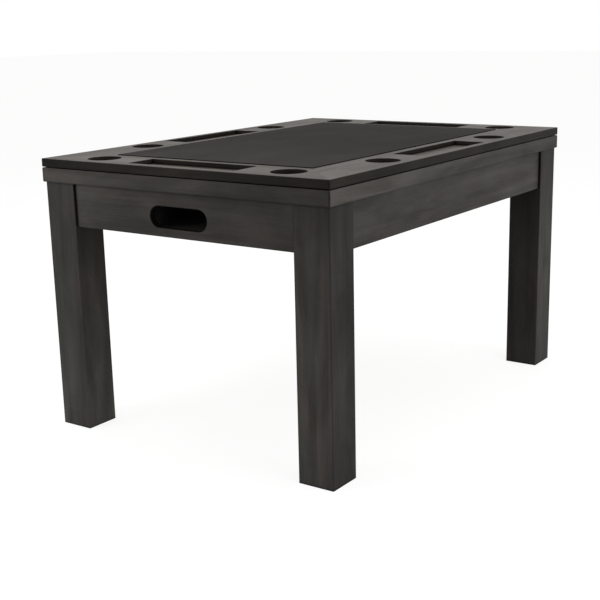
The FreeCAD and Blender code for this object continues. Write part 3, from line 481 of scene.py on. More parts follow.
@dataclass(frozen=True)
class Felt:
    """Pressed felt with a short nap that has been brushed one way."""

    name: str = "felt"
    dark: Colour = (0.0168, 0.0159, 0.0147)
    light: Colour = (0.0370, 0.0352, 0.0328)

    @functools.lru_cache
    def material(self, painted_light: PaintedLight, reach: Point) -> Material:
        """The felt's face.

        Args:
            painted_light: painted sheen and shade, how light it is at its left end, in its middle and at its
                right end.
            reach: where those two ends are.

        Returns:
            The material.
        """
        tree = Tree(self.name)
        fibres = tree.noise((1300, 700, 1300), detail=4, wander=1.2)
        brushed = tree.noise((5, 26, 5), (3, 1, 2), 4, 0.7)
        clouds = tree.noise((4.2, 7, 4), detail=4, wander=0.5)
        tone = tree.total(
            (tree.span(brushed, 0.32, 0.68), 0.15),
            (tree.span(fibres, 0.3, 0.7), 0.5),
            (tree.span(clouds, 0.3, 0.7), 0.35),
        )
        # Painted sheen and shade along the felt, lightest at its left end.
        dust_and_painted_light = tree.shade(Grain.ALONG_X.value, reach, painted_light)
        return tree.finish(
            Base_Color=tree.darken(tree.mix(tone, self.dark, self.light), dust_and_painted_light),
            Roughness=tree.span(fibres, 0.3, 0.7, 0.86, 0.97),
            Specular_IOR_Level=0.03,
            Sheen_Weight=0.015,
            Sheen_Roughness=0.45,
            Sheen_Tint=(0.75, 0.74, 0.73),
            Normal=tree.relief(tree.total((brushed, 0.2), (fibres, 0.8)), 0.30 * MM),
        )


@dataclass(frozen=True)
class WovenCloth:
    """Tight worsted cloth, as stretched over a pool bed and its cushions."""

    name: str = "playing_cloth"
    dark: Colour = (0.050, 0.052, 0.056)
    light: Colour = (0.105, 0.108, 0.115)
    thread: float = 0.75 * MM

    @functools.lru_cache
    def material(self) -> Material:
        """The cloth's face.

        Returns:
            The material.
        """
        tree = Tree(self.name)
        turns = 2 * math.pi / self.thread
        point = tree.place((turns, turns, turns))
        waves = [tree.calc("SINE", tree.axis(point, axis)) for axis in range(3)]
        weave = tree.calc("ADD", tree.calc("MULTIPLY", waves[0], waves[1]), waves[2])
        weave = tree.span(weave, -1.5, 1.5)
        fuzz = tree.noise((900, 900, 900), detail=4, wander=0.8)
        clouds = tree.noise((6, 6, 6), (5, 3, 1))
        tone = tree.total((fuzz, 0.4), (weave, 0.35), (tree.span(clouds, 0.3, 0.7), 0.25))
        return tree.finish(
            Base_Color=tree.mix(tone, self.dark, self.light),
            Roughness=tree.span(fuzz, 0.3, 0.7, 0.80, 0.93),
            Specular_IOR_Level=0.2,
            Sheen_Weight=0.18,
            Sheen_Roughness=0.4,
            Sheen_Tint=(0.8, 0.8, 0.82),
            Normal=tree.relief(tree.total((fuzz, 0.4), (weave, 0.6)), 0.10 * MM),
        )


@dataclass(frozen=True)
class Moulded:
    """Rubber or plastic out of a mould: even colour, fine texture and a little dust."""

    name: str
    colour: Colour
    dust: Colour
    rough: float
    texture: float = 0.05 * MM
    scale: float = 900
    dusty: float = 0.35
    specular: float = 0.42

    @functools.lru_cache
    def material(self) -> Material:
        """The moulded face.

        Returns:
            The material.
        """
        tree = Tree(self.name)
        fine = tree.noise((self.scale,) * 3, detail=2)
        patches = tree.noise((17, 17, 17), (2, 4, 6), 4)
        scuffs = tree.noise((260, 45, 45), (7, 1, 1), 3, 0.6)
        dust_and_painted_light = tree.calc("MULTIPLY", tree.span(patches, 0.42, 0.72), self.dusty)
        colour = tree.mix(dust_and_painted_light, self.colour, self.dust)
        return tree.finish(
            Base_Color=tree.mix(tree.span(scuffs, 0.63, 0.74, 0, 0.3), colour, self.dust),
            Roughness=tree.span(patches, 0.3, 0.7, self.rough - 0.05, self.rough + 0.12),
            Specular_IOR_Level=self.specular,
            Normal=tree.relief(fine, self.texture),
        )


@dataclass(frozen=True)
class PlatedSteel:
    """Zinc-plated steel with faint tool marks and a little bloom."""

    name: str
    colour: Colour
    rough: float

    @functools.lru_cache
    def material(self) -> Material:
        """The plated face.

        Returns:
            The material.
        """
        tree = Tree(self.name)
        bloom = tree.noise((140, 140, 140), detail=4)
        marks = tree.noise((260, 260, 5200), (1, 5, 2), 2)
        dull = tuple(0.62 * part for part in self.colour)
        return tree.finish(
            Base_Color=tree.mix(tree.span(bloom, 0.4, 0.7, 0, 0.7), self.colour, dull),
            Metallic=1.0,
            Roughness=tree.span(bloom, 0.3, 0.7, self.rough - 0.06, self.rough + 0.16),
            Normal=tree.relief(marks, 0.02 * MM),
        )


@dataclass(frozen=True)
class Finishes:
    """Every finish of the table."""

    frame_wood: StainedWood = StainedWood("stained_wood", (0.0233, 0.0221, 0.0213), (0.0636, 0.0602, 0.0582))
    # The frame finish, lighter along its upright and lower arrises.
    light_arris_wood: StainedWood = replace(
        frame_wood, name="light_arris_wood", arris=(0.085, 0.079, 0.074), arris_share=0.35
    )
    top_wood: StainedWood = StainedWood(
        "stained_top", (0.034, 0.0287, 0.0238), (0.056, 0.0475, 0.0394),
        rough=0.46, specular=0.113, rosy=(1.04, 0.99, 0.96), olive=(0.98, 1.0, 0.93),
    )
    edge_wood: StainedWood = StainedWood(
        "dark_edge", (0.0075, 0.0068, 0.0059), (0.0235, 0.0213, 0.0187), rough=0.52, specular=0.06
    )
    well_paint: StainedWood = StainedWood(
        "well_paint", (0.012, 0.0103, 0.0088), (0.026, 0.0220, 0.0185), rough=0.62
    )
    bare_wood: BareWood = BareWood()
    board: PressedBoard = PressedBoard()
    felt: Felt = Felt()
    cloth: WovenCloth = WovenCloth()
    cushion_rubber: Moulded = Moulded("rubber", (0.23, 0.17, 0.11), (0.34, 0.28, 0.2), 0.6)
    ring_rubber: Moulded = Moulded("bumper_rubber", (0.72, 0.70, 0.64), (0.50, 0.47, 0.41), 0.5, dusty=0.3)
    pad_rubber: Moulded = Moulded("pad_rubber", (0.02, 0.02, 0.02), (0.09, 0.088, 0.082), 0.66)
    post_plastic: Moulded = Moulded(
        "bumper_black", (0.012, 0.012, 0.013), (0.05, 0.05, 0.05), 0.26, scale=300
    )
    box_plastic: Moulded = Moulded("moulded_black", (0.008, 0.0078, 0.0075), (0.022, 0.021, 0.0195), 0.55)
    # Black foam, also used for a dark line of painted shade along the felt's rolled edge.
    foam_and_edge_shade: Moulded = Moulded(
        "black_foam_and_edge_shade", (0.004, 0.004, 0.004), (0.009, 0.0087, 0.0084), 0.95, scale=1600, specular=0.03
    )
    steel: PlatedSteel = PlatedSteel("steel", (0.62, 0.62, 0.63), 0.32)
    dark_steel: PlatedSteel = PlatedSteel("steel_dark", (0.48, 0.48, 0.50), 0.38)


FINISH = Finishes()


# Meshes


def rounded(points: Sequence[Point], radius: float, steps: int = 4, closed: bool = True) -> list[Point]:
    """Round the corners of a line.

    Args:
        points: the line's corners.
        radius: how far along each side of a corner the curve starts, up to CURVE_SHARE of that side.
        steps: points on each curve, less one.
        closed: whether the last point joins the first.

    Returns:
        The rounded line. An open line keeps its two ends.
    """
    made: list[Point] = []
    count = len(points)
    for i, corner in enumerate(points):
        if not closed and i in (0, count - 1):
            made.append(corner)
            continue
        here = Vector(corner)
        before, after = Vector(points[i - 1]) - here, Vector(points[(i + 1) % count]) - here
        reach = min(radius, CURVE_SHARE * before.length, CURVE_SHARE * after.length)
        start, end = here + before.normalized() * reach, here + after.normalized() * reach
        for step in range(steps + 1):
            share = step / steps
            point = start.lerp(here, share).lerp(here.lerp(end, share), share)
            made.append((point.x, point.y))
    return made


def around(segments: int, radius: float = 1) -> list[Point]:
    """Points round a circle."""
    turns = [2 * math.pi * i / segments for i in range(segments)]
    return [(radius * math.cos(turn), radius * math.sin(turn)) for turn in turns]


def skin(rings: Sequence[Sequence[Triple]], closed: bool = False, capped: bool = True) -> Mesh:
    """A surface through rings of points, each with as many as the next.

    Args:
        rings: the rings. One whose points are all the same makes a single point.
        closed: whether the last ring joins the first.
        capped: whether the first and the last ring are filled.

    Returns:
        The mesh.
    """
    mesh = bmesh.new()
    loops = []
    for ring in rings:
        if len(set(ring)) == 1:
            loops.append([mesh.verts.new(ring[0])] * len(ring))
        else:
            loops.append([mesh.verts.new(point) for point in ring])
    for low, high in zip(loops, loops[1:] + (loops[:1] if closed else [])):
        for i in range(len(low)):
            j = (i + 1) % len(low)
            corners = list(dict.fromkeys((low[i], low[j], high[j], high[i])))
            if len(corners) > 2:
                mesh.faces.new(corners)
    if capped:
        mesh.faces.new(loops[0][::-1])
        mesh.faces.new(loops[-1])
    return mesh


def lathe(profile: Sequence[Point], segments: int, closed: bool = False) -> Mesh:
    """Turn a profile about Z.

    Args:
        profile: (radius, height) points. A radius of 0 makes a single point on the axis.
        segments: steps round the axis.
        closed: whether the last point joins the first.

    Returns:
        The turned mesh.
    """
    rings = [[(x, y, height) for x, y in around(segments, radius)] for radius, height in profile]
    return skin(rings, closed, capped=False)


def thread(radius: float, depth: float, pitch: float, low: float, high: float) -> Mesh:
    """A screw thread on a rod along Z, closed at both ends and run out at the upper one.

    Args:
        radius: the rod's radius at the crests.
        depth: crest to root.
        pitch: crest to crest.
        low: the rod's low end.
        high: the rod's high end.

    Returns:
        The rod's mesh.
    """
    segments, rows_per_turn = 24, 6
    rows = max(2, round((high - low) / pitch * rows_per_turn))
    rings = []
    for row in range(rows + 1):
        height = low + (high - low) * row / rows
        run_out = 0.6 * depth * (1 - min(1.0, (high - height) / pitch))
        ring = []
        for i, (x, y) in enumerate(around(segments)):
            phase = (height / pitch - i / segments) % 1.0
            reach = radius - depth * (1 - abs(2 * phase - 1)) - run_out
            ring.append((reach * x, reach * y, height))
        rings.append(ring)
    return skin(rings)


def cross_head(radius: float, height: float, slot: float, base: float) -> Mesh:
    """A domed screw head with a cross recess, its dome up.

    Args:
        radius: the head's radius.
        height: the head's height.
        slot: half the width of the recess's arms.
        base: the height of its flat side above the origin.

    Returns:
        The head's mesh.
    """
    segments, reach, deep, fall = 40, 0.58 * radius, 0.6 * height, 0.45 * height
    rings = [[(x, y, base) for x, y in around(segments, radius)]]
    for share in (1.0, 0.93, 0.82, 0.7, 0.6, 0.56, 0.46, 0.36, 0.26, 0.16, 0.08):
        ring = []
        for x, y in around(segments, radius * share):
            z = height - fall * share**4
            if min(abs(x), abs(y)) < slot and max(abs(x), abs(y)) < reach:
                z -= deep * (1 - 0.5 * max(abs(x), abs(y)) / reach)
            ring.append((x, y, base + z))
        rings.append(ring)
    return skin(rings)


def swept(section: Sequence[Point], half: float) -> Mesh:
    """Sweep a closed (depth, height) section along X, its ends cut to a mitre of 45 degrees.

    Args:
        section: the section, its depth from the back face.
        half: half the length at the back face.

    Returns:
        The swept mesh.
    """
    return skin([[(sign * (half - y), y, z) for y, z in section] for sign in (-1, 1)])


def sheet_with_holes(low: Vector, high: Vector, holes: Sequence[tuple[Vector, float]]) -> Mesh:
    """A thin flat sheet with round holes.

    Args:
        low: its low corner.
        high: its high corner.
        holes: (centre, radius) of each hole.

    Returns:
        The sheet's mesh.
    """
    points = [Vector(p) for p in ((low.x, low.y), (high.x, low.y), (high.x, high.y), (low.x, high.y))]
    edges = [(0, 1), (1, 2), (2, 3), (3, 0)]
    step, clear, wide = 40 * MM, 4 * MM, 10 * MM
    for centre, radius in holes:
        first, count = len(points), 40 if radius > wide else 12
        points += [centre + Vector(point) for point in around(count, radius)]
        edges += [(first + i, first + (i + 1) % count) for i in range(count)]
    for i in range(1, int((high.x - low.x) / step)):
        for j in range(1, int((high.y - low.y) / step)):
            spot = low.xy + Vector((i * step, j * step))
            if all((spot - centre).length > radius + clear for centre, radius in holes):
                points.append(spot)
    found, _, faces, _, _, _ = delaunay_2d_cdt(points, edges, [], 1, 1e-7)
    mesh = bmesh.new()
    lower, upper = ([mesh.verts.new((*point, z)) for point in found] for z in (low.z, high.z))
    kept = []
    for face in faces:
        spot = sum((found[i] for i in face), Vector((0, 0))) / len(face)
        if all((spot - centre).length > radius for centre, radius in holes):
            kept.append(face)
            mesh.faces.new([upper[i] for i in face])
            mesh.faces.new([lower[i] for i in reversed(face)])
    for start, end in _border(kept):
        mesh.faces.new((lower[start], lower[end], upper[end], upper[start]))
    bmesh.ops.delete(mesh, geom=[v for v in mesh.verts if not v.link_faces], context="VERTS")
    return mesh


def _border(faces: Sequence[Sequence[int]]) -> list[tuple[int, int]]:
    """The edges that belong to one face only, in that face's direction."""
    ways = {(face[i - 1], face[i]) for face in faces for i in range(len(face))}
    return sorted(way for way in ways if (way[1], way[0]) not in ways)


def copies(meshes: Sequence[Mesh], spots: Sequence[Matrix]) -> Mesh:
    """Several meshes as one, copied to each spot.

    Args:
        meshes: the meshes, freed afterwards.
        spots: where the copies go.

    Returns:
        The joined mesh.
    """
    joined = bmesh.new()
    for mesh in meshes:
        part = bpy.data.meshes.new("part")
        mesh.to_mesh(part)
        mesh.free()
        for spot in spots:
            moved = part.copy()
            moved.transform(spot)
            joined.from_mesh(moved)
            bpy.data.meshes.remove(moved)
        bpy.data.meshes.remove(part)
    return joined


def put(name: str, data: bpy.types.ID) -> bpy.types.Object:
    """Put an object into the scene.

    Args:
        name: its name.
        data: its mesh, lamp or camera.

    Returns:
        The object.
    """
    made = bpy.data.objects.new(name, data)
    bpy.context.scene.collection.objects.link(made)
    return made


def modify(piece: bpy.types.Object, kind: str, **settings: Any) -> None:
    """Add a modifier.

    Args:
        piece: the piece that gets it.
        kind: the modifier's type.
        **settings: its properties.
    """
    modifier = piece.modifiers.new(kind.lower(), kind)
    for key, value in settings.items():
        setattr(modifier, key, value)


# Places


def middle(box: Box) -> Vector:
    """The middle of a box."""
    return (box[0] + box[1]) / 2


def base_of(box: Box) -> Matrix:
    """The move to the middle of a box's lower face."""
    return Matrix.Translation((*middle(box).xy, box[0].z))


def reach_of(name: str, grain: Grain) -> Point:
    """Where the two ends of a CAD node are, along a grain."""
    low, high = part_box(name)
    return low[grain.value], high[grain.value]


def in_metres(points: Sequence[Point]) -> list[Point]:
    """Points that are given in millimetres, in metres."""
    return [(x * MM, y * MM) for x, y in points]


def faces_up(face: bpy.types.MeshPolygon) -> bool:
    """Whether a face looks mostly up."""
    return face.normal.z > MOSTLY


def faces_a_side(face: bpy.types.MeshPolygon) -> bool:
    """Whether a face looks mostly to the front or the back."""
    return abs(face.normal.y) > MOSTLY


# Pieces


@dataclass
class Assembly:
    """A part of the table: the CAD nodes that it dresses and the pieces that it makes."""

    nodes: dict[str, bpy.types.Object]
    body: str = "table"
    weld: float = 0.01 * MM
    sharp: float = math.radians(40)

    def parts(self, name: str) -> list[Box]:
        """The boxes of a node's separate solids.

        Args:
            name: the node.

        Returns:
            (low corner, high corner) of each solid, ordered by place.
        """
        mesh = bmesh.new()
        mesh.from_mesh(self.nodes[name].data)
        bmesh.ops.remove_doubles(mesh, verts=mesh.verts, dist=self.weld)
        left, boxes = set(mesh.verts), []
        while left:
            found, edge = set(), {next(iter(left))}
            while edge:
                found |= edge
                edge = {e.other_vert(v) for v in edge for e in v.link_edges} - found
            left -= found
            spots = [v.co for v in found]
            boxes.append(tuple(Vector(pick(p[i] for p in spots) for i in range(3)) for pick in (min, max)))
        mesh.free()
        return sorted(boxes, key=lambda box: tuple(round(part, 4) for part in box[0]))

    def dress(
        self, name: str, material: Material, ease: float, second: tuple[Material, FaceTest] | None = None
    ) -> None:
        """Give a CAD node its finish, ease its edges and keep its flat faces flat.

        Args:
            name: the node.
            material: the finish of its faces.
            ease: the width of the bevel along its sharp edges.
            second: a second finish, with the test of the faces that take it.
        """
        piece = self.nodes[name]
        mesh = piece.data
        mesh.materials.clear()
        mesh.materials.append(material)
        if second:
            other, takes = second
            mesh.materials.append(other)
            for face in mesh.polygons:
                face.material_index = int(takes(face))
        if mesh.has_custom_normals:
            mesh.attributes.remove(mesh.attributes["custom_normal"])
        mesh.shade_smooth()
        flat = math.radians(0.5)
        modify(piece, "WELD", merge_threshold=self.weld)
        modify(piece, "DECIMATE", decimate_type="DISSOLVE", angle_limit=flat, delimit={"MATERIAL"})
        modify(piece, "BEVEL", width=ease, segments=2, limit_method="ANGLE", angle_limit=self.sharp)
        modify(piece, "WEIGHTED_NORMAL", weight=80, keep_sharp=True)
        LOG.info("%s: CAD node with %s", name, material.name)

    def make(
        self,
        name: str,
        meshes: Sequence[Mesh],
        material: Material,
        slot: str,
        node: str,
        spots: Sequence[Matrix] = (Matrix(),),
        body: str = "",
    ) -> bpy.types.Object:
        """Make a piece that stands for a CAD node.

        Args:
            name: the piece's name.
            meshes: its meshes, freed afterwards.
            material: its finish.
            slot: the record's material slot; not used.
            node: the CAD node that it replaces.
            spots: where copies of the meshes go.
            body: the body that it rides on, if not the assembly's own.

        Returns:
            The piece's object.
        """
        mesh = copies(meshes, spots)
        bmesh.ops.recalc_face_normals(mesh, faces=mesh.faces)
        data = bpy.data.meshes.new(name)
        mesh.to_mesh(data)
        mesh.free()
        data.shade_smooth()
        data.set_sharp_from_angle(angle=self.sharp)
        data.materials.append(material)
        piece = put(name, data)
        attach(piece, body or self.body)
        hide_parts(node)
        LOG.info("%s: %d faces, stands for %s", name, len(data.polygons), node)
        return piece


@dataclass(frozen=True)
class BoardLightAndShade:
    """Painted light and shade on each board and on the felt, with a little of each board's own tone: how
    light each is painted at the low end, in the middle and at the high end.

    The legs stand in the order of Corner and the other boards in that of Side.
    """

    # Lit and shaded copies for the legs: their end faces and their long faces take painted light and shade of
    # their own.
    leg_ends: tuple[PaintedLight, ...] = ((1.1, 1.4, 0.55), (0.9, 0.6, 0.25), (1.0, 1.0, 0.9), (1.35, 0.95, 0.95))
    leg_sides: tuple[PaintedLight, ...] = ((0.8, 0.75, 0.55), (0.75, 0.85, 0.4), (1.0, 0.95, 0.9), (1.7, 1.15, 0.2))
    rails: tuple[PaintedLight, ...] = ((1.7, 0.9, 0.65), (1.0, 1.05, 1.0), (0.95, 1.0, 1.05), (0.75, 0.95, 1.35))
    aprons: tuple[PaintedLight, ...] = ((0.95, 0.9, 1.1), (1.0, 1.0, 1.05), (1.0, 1.0, 1.0), (0.8, 1.0, 1.55))
    # Painted shade on the dark paint inside the ball openings.
    opening_shade: PaintedLight = (0.4, 0.4, 0.4)
    bands: tuple[PaintedLight, ...] = ((1.15, 0.8, 0.7), (0.8, 0.85, 0.9), (0.95, 0.9, 0.95), (0.85, 1.25, 0.65))
    borders: tuple[PaintedLight, ...] = ((1.1, 0.8, 1.0), (0.95, 1.0, 1.0), (1.0, 0.95, 1.0), (0.9, 1.0, 1.0))
    # Painted sheen on the felt, lightest at its left end.
    felt: PaintedLight = (1.35, 0.9, 1.05)


@dataclass
class GameTop(Assembly):
    """The lift-off top: felt and border above, dining face below.

    The felt's nap is on those of its faces that look up by nap_up or more; the rest, its sides and its rolled
    edge, are black foam, which also paints a dark line of shade along its edge.
    """

    body: str = "game_top"
    light_and_shade: BoardLightAndShade = BoardLightAndShade()
    border_ease: float = 0.25 * MM
    band_ease: float = 0.35 * MM
    well_margin: float = 12 * MM
    mitre_area: float = 3e-4
    felt_round: float = 1.4 * MM
    felt_margin: float = 5 * MM
    felt_step: float = 30 * MM
    nap_up: float = 0.96

    def build(self) -> None:
        """Dress the wooden pieces and lay the felt."""
        wood = FINISH.top_wood
        self.dress("top_base_panel", wood.material(Grain.ALONG_X), self.band_ease)
        self.dress("play_board", FINISH.board.material(), self.border_ease)
        for side, band, border in zip(Side, self.light_and_shade.bands, self.light_and_shade.borders):
            grain = side.grain
            reach = reach_of(f"edge_band_{side}", grain)
            upper = wood.material(grain, border, reach)
            outer = FINISH.edge_wood.material(grain, band, reach)
            well = FINISH.well_paint.material(grain)
            self.dress(f"edge_band_{side}", outer, self.band_ease, (upper, faces_up))
            self.dress(f"border_board_{side}", upper, self.border_ease, (well, self._in_a_well(side)))
        self._felt()

    def _in_a_well(self, side: Side) -> FaceTest:
        """A test of the faces of a border board inside its wells and tray.

        Args:
            side: the board's side.

        Returns:
            The test.
        """
        across = 1 - side.grain.value
        low, high = (corner[across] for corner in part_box(f"border_board_{side}"))

        def inside(face: bpy.types.MeshPolygon) -> bool:
            """Whether an upright face is inside the board's outline."""
            deep = min(face.center[across] - low, high - face.center[across]) > self.well_margin
            return deep and abs(face.normal.z) < 0.5 and not self._is_mitre(face)

        return inside

    def _is_mitre(self, face: bpy.types.MeshPolygon) -> bool:
        """Whether a face looks halfway between X and Y, and is larger than a facet of a curve."""
        return abs(abs(face.normal.x) - abs(face.normal.y)) < 0.25 and face.area > self.mitre_area

    def _felt(self) -> None:
        """The felt on its foam, its upper edge rolled over."""
        low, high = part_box("play_felt")
        long, wide = (high - low).xy
        corner = [(0, low.z), (0, high.z), (self.felt_margin, high.z)]
        profile = rounded(corner, self.felt_round, 6, closed=False)
        columns, rows = round(long / self.felt_step), round(wide / self.felt_step)
        rim = [(i, 0) for i in range(columns)] + [(columns, j) for j in range(rows)]
        rim += [(columns - i, rows) for i in range(columns)] + [(0, rows - j) for j in range(rows)]

        def spot(i: int, j: int, inset: float, z: float) -> Triple:
            """A point of the grid, its rim that far inside the felt's edge."""
            x, y = (long - 2 * inset) * i / columns, (wide - 2 * inset) * j / rows
            return low.x + inset + x, low.y + inset + y, z

        mesh = skin([[spot(i, j, inset, z) for i, j in rim] for inset, z in profile], capped=False)
        mesh.verts.ensure_lookup_table()
        mesh.faces.new(mesh.verts[: len(rim)])
        grid = dict(zip(rim, mesh.verts[-len(rim):]))
        for i in range(1, columns):
            for j in range(1, rows):
                grid[i, j] = mesh.verts.new(spot(i, j, self.felt_margin, high.z))
        for i in range(columns):
            for j in range(rows):
                mesh.faces.new((grid[i, j], grid[i + 1, j], grid[i + 1, j + 1], grid[i, j + 1]))
        nap = FINISH.felt.material(self.light_and_shade.felt, (low.x, high.x))
        felt = self.make("play_felt_nap", [mesh], nap, "felt", "play_felt")
        # Black foam on the sides and on the rolled edge: the foam's own colour at the sides, and a dark line
        # of painted shade along the felt's edge.
        felt.data.materials.append(FINISH.foam_and_edge_shade.material())
        for face in felt.data.polygons:
            face.material_index = int(face.normal.z < self.nap_up)


@dataclass
class Frame(Assembly):
    """Legs, aprons and rails, and the bare wood behind them."""

    light_and_shade: BoardLightAndShade = BoardLightAndShade()
    leg_ease: float = 0.8 * MM
    seam_ease: float = 0.6 * MM
    inner_ease: float = 1.2 * MM
    opening_margin: float = 15 * MM
    opening_half: float = 120 * MM

    def build(self) -> None:
        """Dress every wooden piece of the frame."""
        wood, bare = FINISH.frame_wood, FINISH.bare_wood
        for corner, ends, sides in zip(Corner, self.light_and_shade.leg_ends, self.light_and_shade.leg_sides):
            # The left front leg keeps dark arrises; the other legs are lighter along their upright and lower
            # arrises.
            leg = wood if corner is Corner.LEFT_FRONT else FINISH.light_arris_wood
            upright = (0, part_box(f"leg_{corner}")[1].z)
            # Lit and shaded copies of the leg's finish: its end faces and its long faces are painted lighter
            # or darker apart, along the leg's height.
            long_face = leg.material(Grain.ALONG_Z, sides, upright)
            end_face = leg.material(Grain.ALONG_Z, ends, upright)
            self.dress(f"leg_{corner}", end_face, self.leg_ease, (long_face, faces_a_side))
            self.dress(f"corner_block_{corner}", bare.material(Grain.ALONG_Z), self.inner_ease)
        for side, rail, apron in zip(Side, self.light_and_shade.rails, self.light_and_shade.aprons):
            grain = side.grain
            reach = reach_of(f"rail_{side}", grain)
            self.dress(f"rail_{side}", wood.material(grain, rail, reach), self.seam_ease)
            cut = None
            if side in ENDS:
                # The faces round the ball opening take the dark paint with painted shade on it.
                cut = (FINISH.well_paint.material(grain, self.light_and_shade.opening_shade), self._in_the_opening_shade(side))
            self.dress(f"apron_{side}", wood.material(grain, apron, reach), self.seam_ease, cut)
        for side in LONG_SIDES:
            self.dress(f"bed_cleat_{side}", bare.material(Grain.ALONG_X), self.inner_ease)
        for end in ENDS:
            self.dress(f"cross_beam_{end}", bare.material(Grain.ALONG_Y), self.inner_ease)

    def _in_the_opening_shade(self, side: Side) -> FaceTest:
        """A test of the faces of an end apron inside its ball opening.

        Args:
            side: the apron's side.

        Returns:
            The test.
        """
        low, high = (corner.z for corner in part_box(f"apron_{side}"))

        def inside(face: bpy.types.MeshPolygon) -> bool:
            """Whether a face lies round the opening."""
            deep = min(face.center.z - low, high - face.center.z) > self.opening_margin
            return deep and abs(face.center.y) < self.opening_half and abs(face.normal.x) < 0.5

        return inside


@dataclass
class PoolBed(Assembly):
    """The bed, its cloth and the cushions round it. The cushion's section is in millimetres."""

    board_ease: float = 0.5 * MM
    nose_round: float = 2.4 * MM
    pocket_hole: float = 34 * MM
    screw_hole: float = 2.6 * MM
    cushion_section: tuple[Point, ...] = ((0, 10), (12, 10), (37, 31), (40, 35), (36, 38), (0, 39))

    def build(self) -> None:
        """Dress the bed board, and make the cloths and the cushion rubber."""
        self.dress("bed_board", FINISH.board.material(), self.board_ease)
        self._bed_cloth()
        for side in Side:
            self._cushion(side)

    def _bed_cloth(self) -> None:
        """The cloth on the bed, cut out at the pockets and under the bumpers."""
        low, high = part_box("bed_cloth")
        holes = [(middle(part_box(f"pocket_liner_{end}")).xy, self.pocket_hole) for end in ENDS]
        holes += [(middle(screw).xy, self.screw_hole) for screw in self.parts("bumper_screws")]
        mesh = sheet_with_holes(low, high, holes)
        cloth = self.make("bed_cloth_weave", [mesh], FINISH.cloth.material(), "playing_cloth", "bed_cloth")

    def _cushion(self, side: Side) -> None:
        """The rubber of one cushion and the cloth over it.

        Args:
            side: the rail that carries it.
        """
        low, high = reach_of(f"cushion_{side}", side.grain)
        half = (high - low) / 2
        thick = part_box(f"cushion_{side}")[0].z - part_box(f"cushion_cloth_{side}")[0].z
        spots = [self._place(side)]
        section = in_metres(self.cushion_section)
        pad = self.make(
            f"cushion_rubber_{side}", [swept(rounded(section, self.nose_round), half)],
            FINISH.cushion_rubber.material(), "rubber", f"cushion_{side}", spots,
        )
        inner = rounded(section, self.nose_round, closed=False)
        outer = self._offset(inner, thick)
        cloth = self.make(
            f"cushion_cover_{side}", [swept(outer + inner[::-1], half)],
            FINISH.cloth.material(), "playing_cloth", f"cushion_cloth_{side}", spots,
        )

    def _offset(self, line: Sequence[Point], distance: float) -> list[Point]:
        """A line moved to the right of the way that it runs.

        Args:
            line: the line, whose ends lie on the back face.
            distance: how far it moves.

        Returns:
            The moved line, its ends still on the back face.
        """
        moved = []
        for i, (y, z) in enumerate(line):
            before, after = line[max(0, i - 1)], line[min(len(line) - 1, i + 1)]
            way = (Vector(after) - Vector(before)).normalized()
            moved.append((y + way.y * distance, z - way.x * distance))
        moved[0] = (line[0][0], line[0][1] - distance)
        moved[-1] = (line[-1][0], line[-1][1] + distance)
        return moved

    def _place(self, side: Side) -> Matrix:
        """Where a cushion goes that is made along X, its back at y = 0.

        Args:
            side: the rail that carries it.

        Returns:
            The matrix that brings it there.
        """
        low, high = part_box(f"cushion_cloth_{side}")
        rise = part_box(f"cushion_{side}")[0].z - self.cushion_section[0][1] * MM
        angle, x, y = {
            Side.FRONT: (0, 0, low.y),
            Side.RIGHT: (90, high.x, 0),
            Side.BACK: (180, 0, high.y),
            Side.LEFT: (-90, low.x, 0),
        }[side]
        return Matrix.Translation((x, y, rise)) @ Matrix.Rotation(math.radians(angle), 4, "Z")


@dataclass
class Bumpers(Assembly):
    """Twelve bumpers: a black post, a white rubber ring and a screw. The profiles are in millimetres."""

    post: tuple[Point, ...] = (
        (2.6, 0), (27, 0), (27, 4), (19, 14), (17, 14), (17, 33),
        (22, 33), (22, 36), (20, 37), (5, 37), (2.6, 34.6),
    )
    post_round: float = 0.9 * MM
    ring: tuple[Point, ...] = ((17.1, 14.1), (26, 14.1), (30, 18.1), (30, 28.9), (26, 32.9), (17.1, 32.9))
    ring_round: float = 3.2 * MM
    screw_radius: float = 2.5 * MM
    tip_radius: float = 1.2 * MM
    tip_tall: float = 2.5 * MM
    head_radius: float = 4.6 * MM
    head_tall: float = 0.2 * MM
    head_chamfer: float = 0.1 * MM
    slot: float = 0.75 * MM

    def build(self) -> None:
        """Make the posts, rings and screws at the places of the CAD bumpers."""
        spots = [base_of(box) for box in self.parts("bumper_posts")]
        post = lathe(rounded(in_metres(self.post), self.post_round), 56, closed=True)
        ring = lathe(rounded(in_metres(self.ring), self.ring_round, steps=6), 64, closed=True)
        black, white = FINISH.post_plastic.material(), FINISH.ring_rubber.material()
        self.make("bumper_post_set", [post], black, "bumper_black", "bumper_posts", spots)
        self.make("bumper_ring_set", [ring], white, "bumper_rubber", "bumper_rings", spots)
        self._screws()

    def _screws(self) -> None:
        """Countersunk screws with a cross recess down the middle of the posts."""
        boxes = self.parts("bumper_screws")
        top = boxes[0][1].z - boxes[0][0].z - self.head_tall
        rim = top - self.head_chamfer
        shank = lathe([
            (0, 0),
            (self.tip_radius, 0),
            (self.screw_radius, self.tip_tall),
            (self.screw_radius, rim - self.head_radius + self.screw_radius),
            (self.head_radius, rim),
            (self.head_radius - self.head_chamfer, top),
        ], 40)
        head = cross_head(self.head_radius - self.head_chamfer, self.head_tall, self.slot, top)
        spots = [base_of(box) for box in boxes]
        self.make("bumper_screw_set", [shank, head], FINISH.steel.material(), "steel", "bumper_screws", spots)


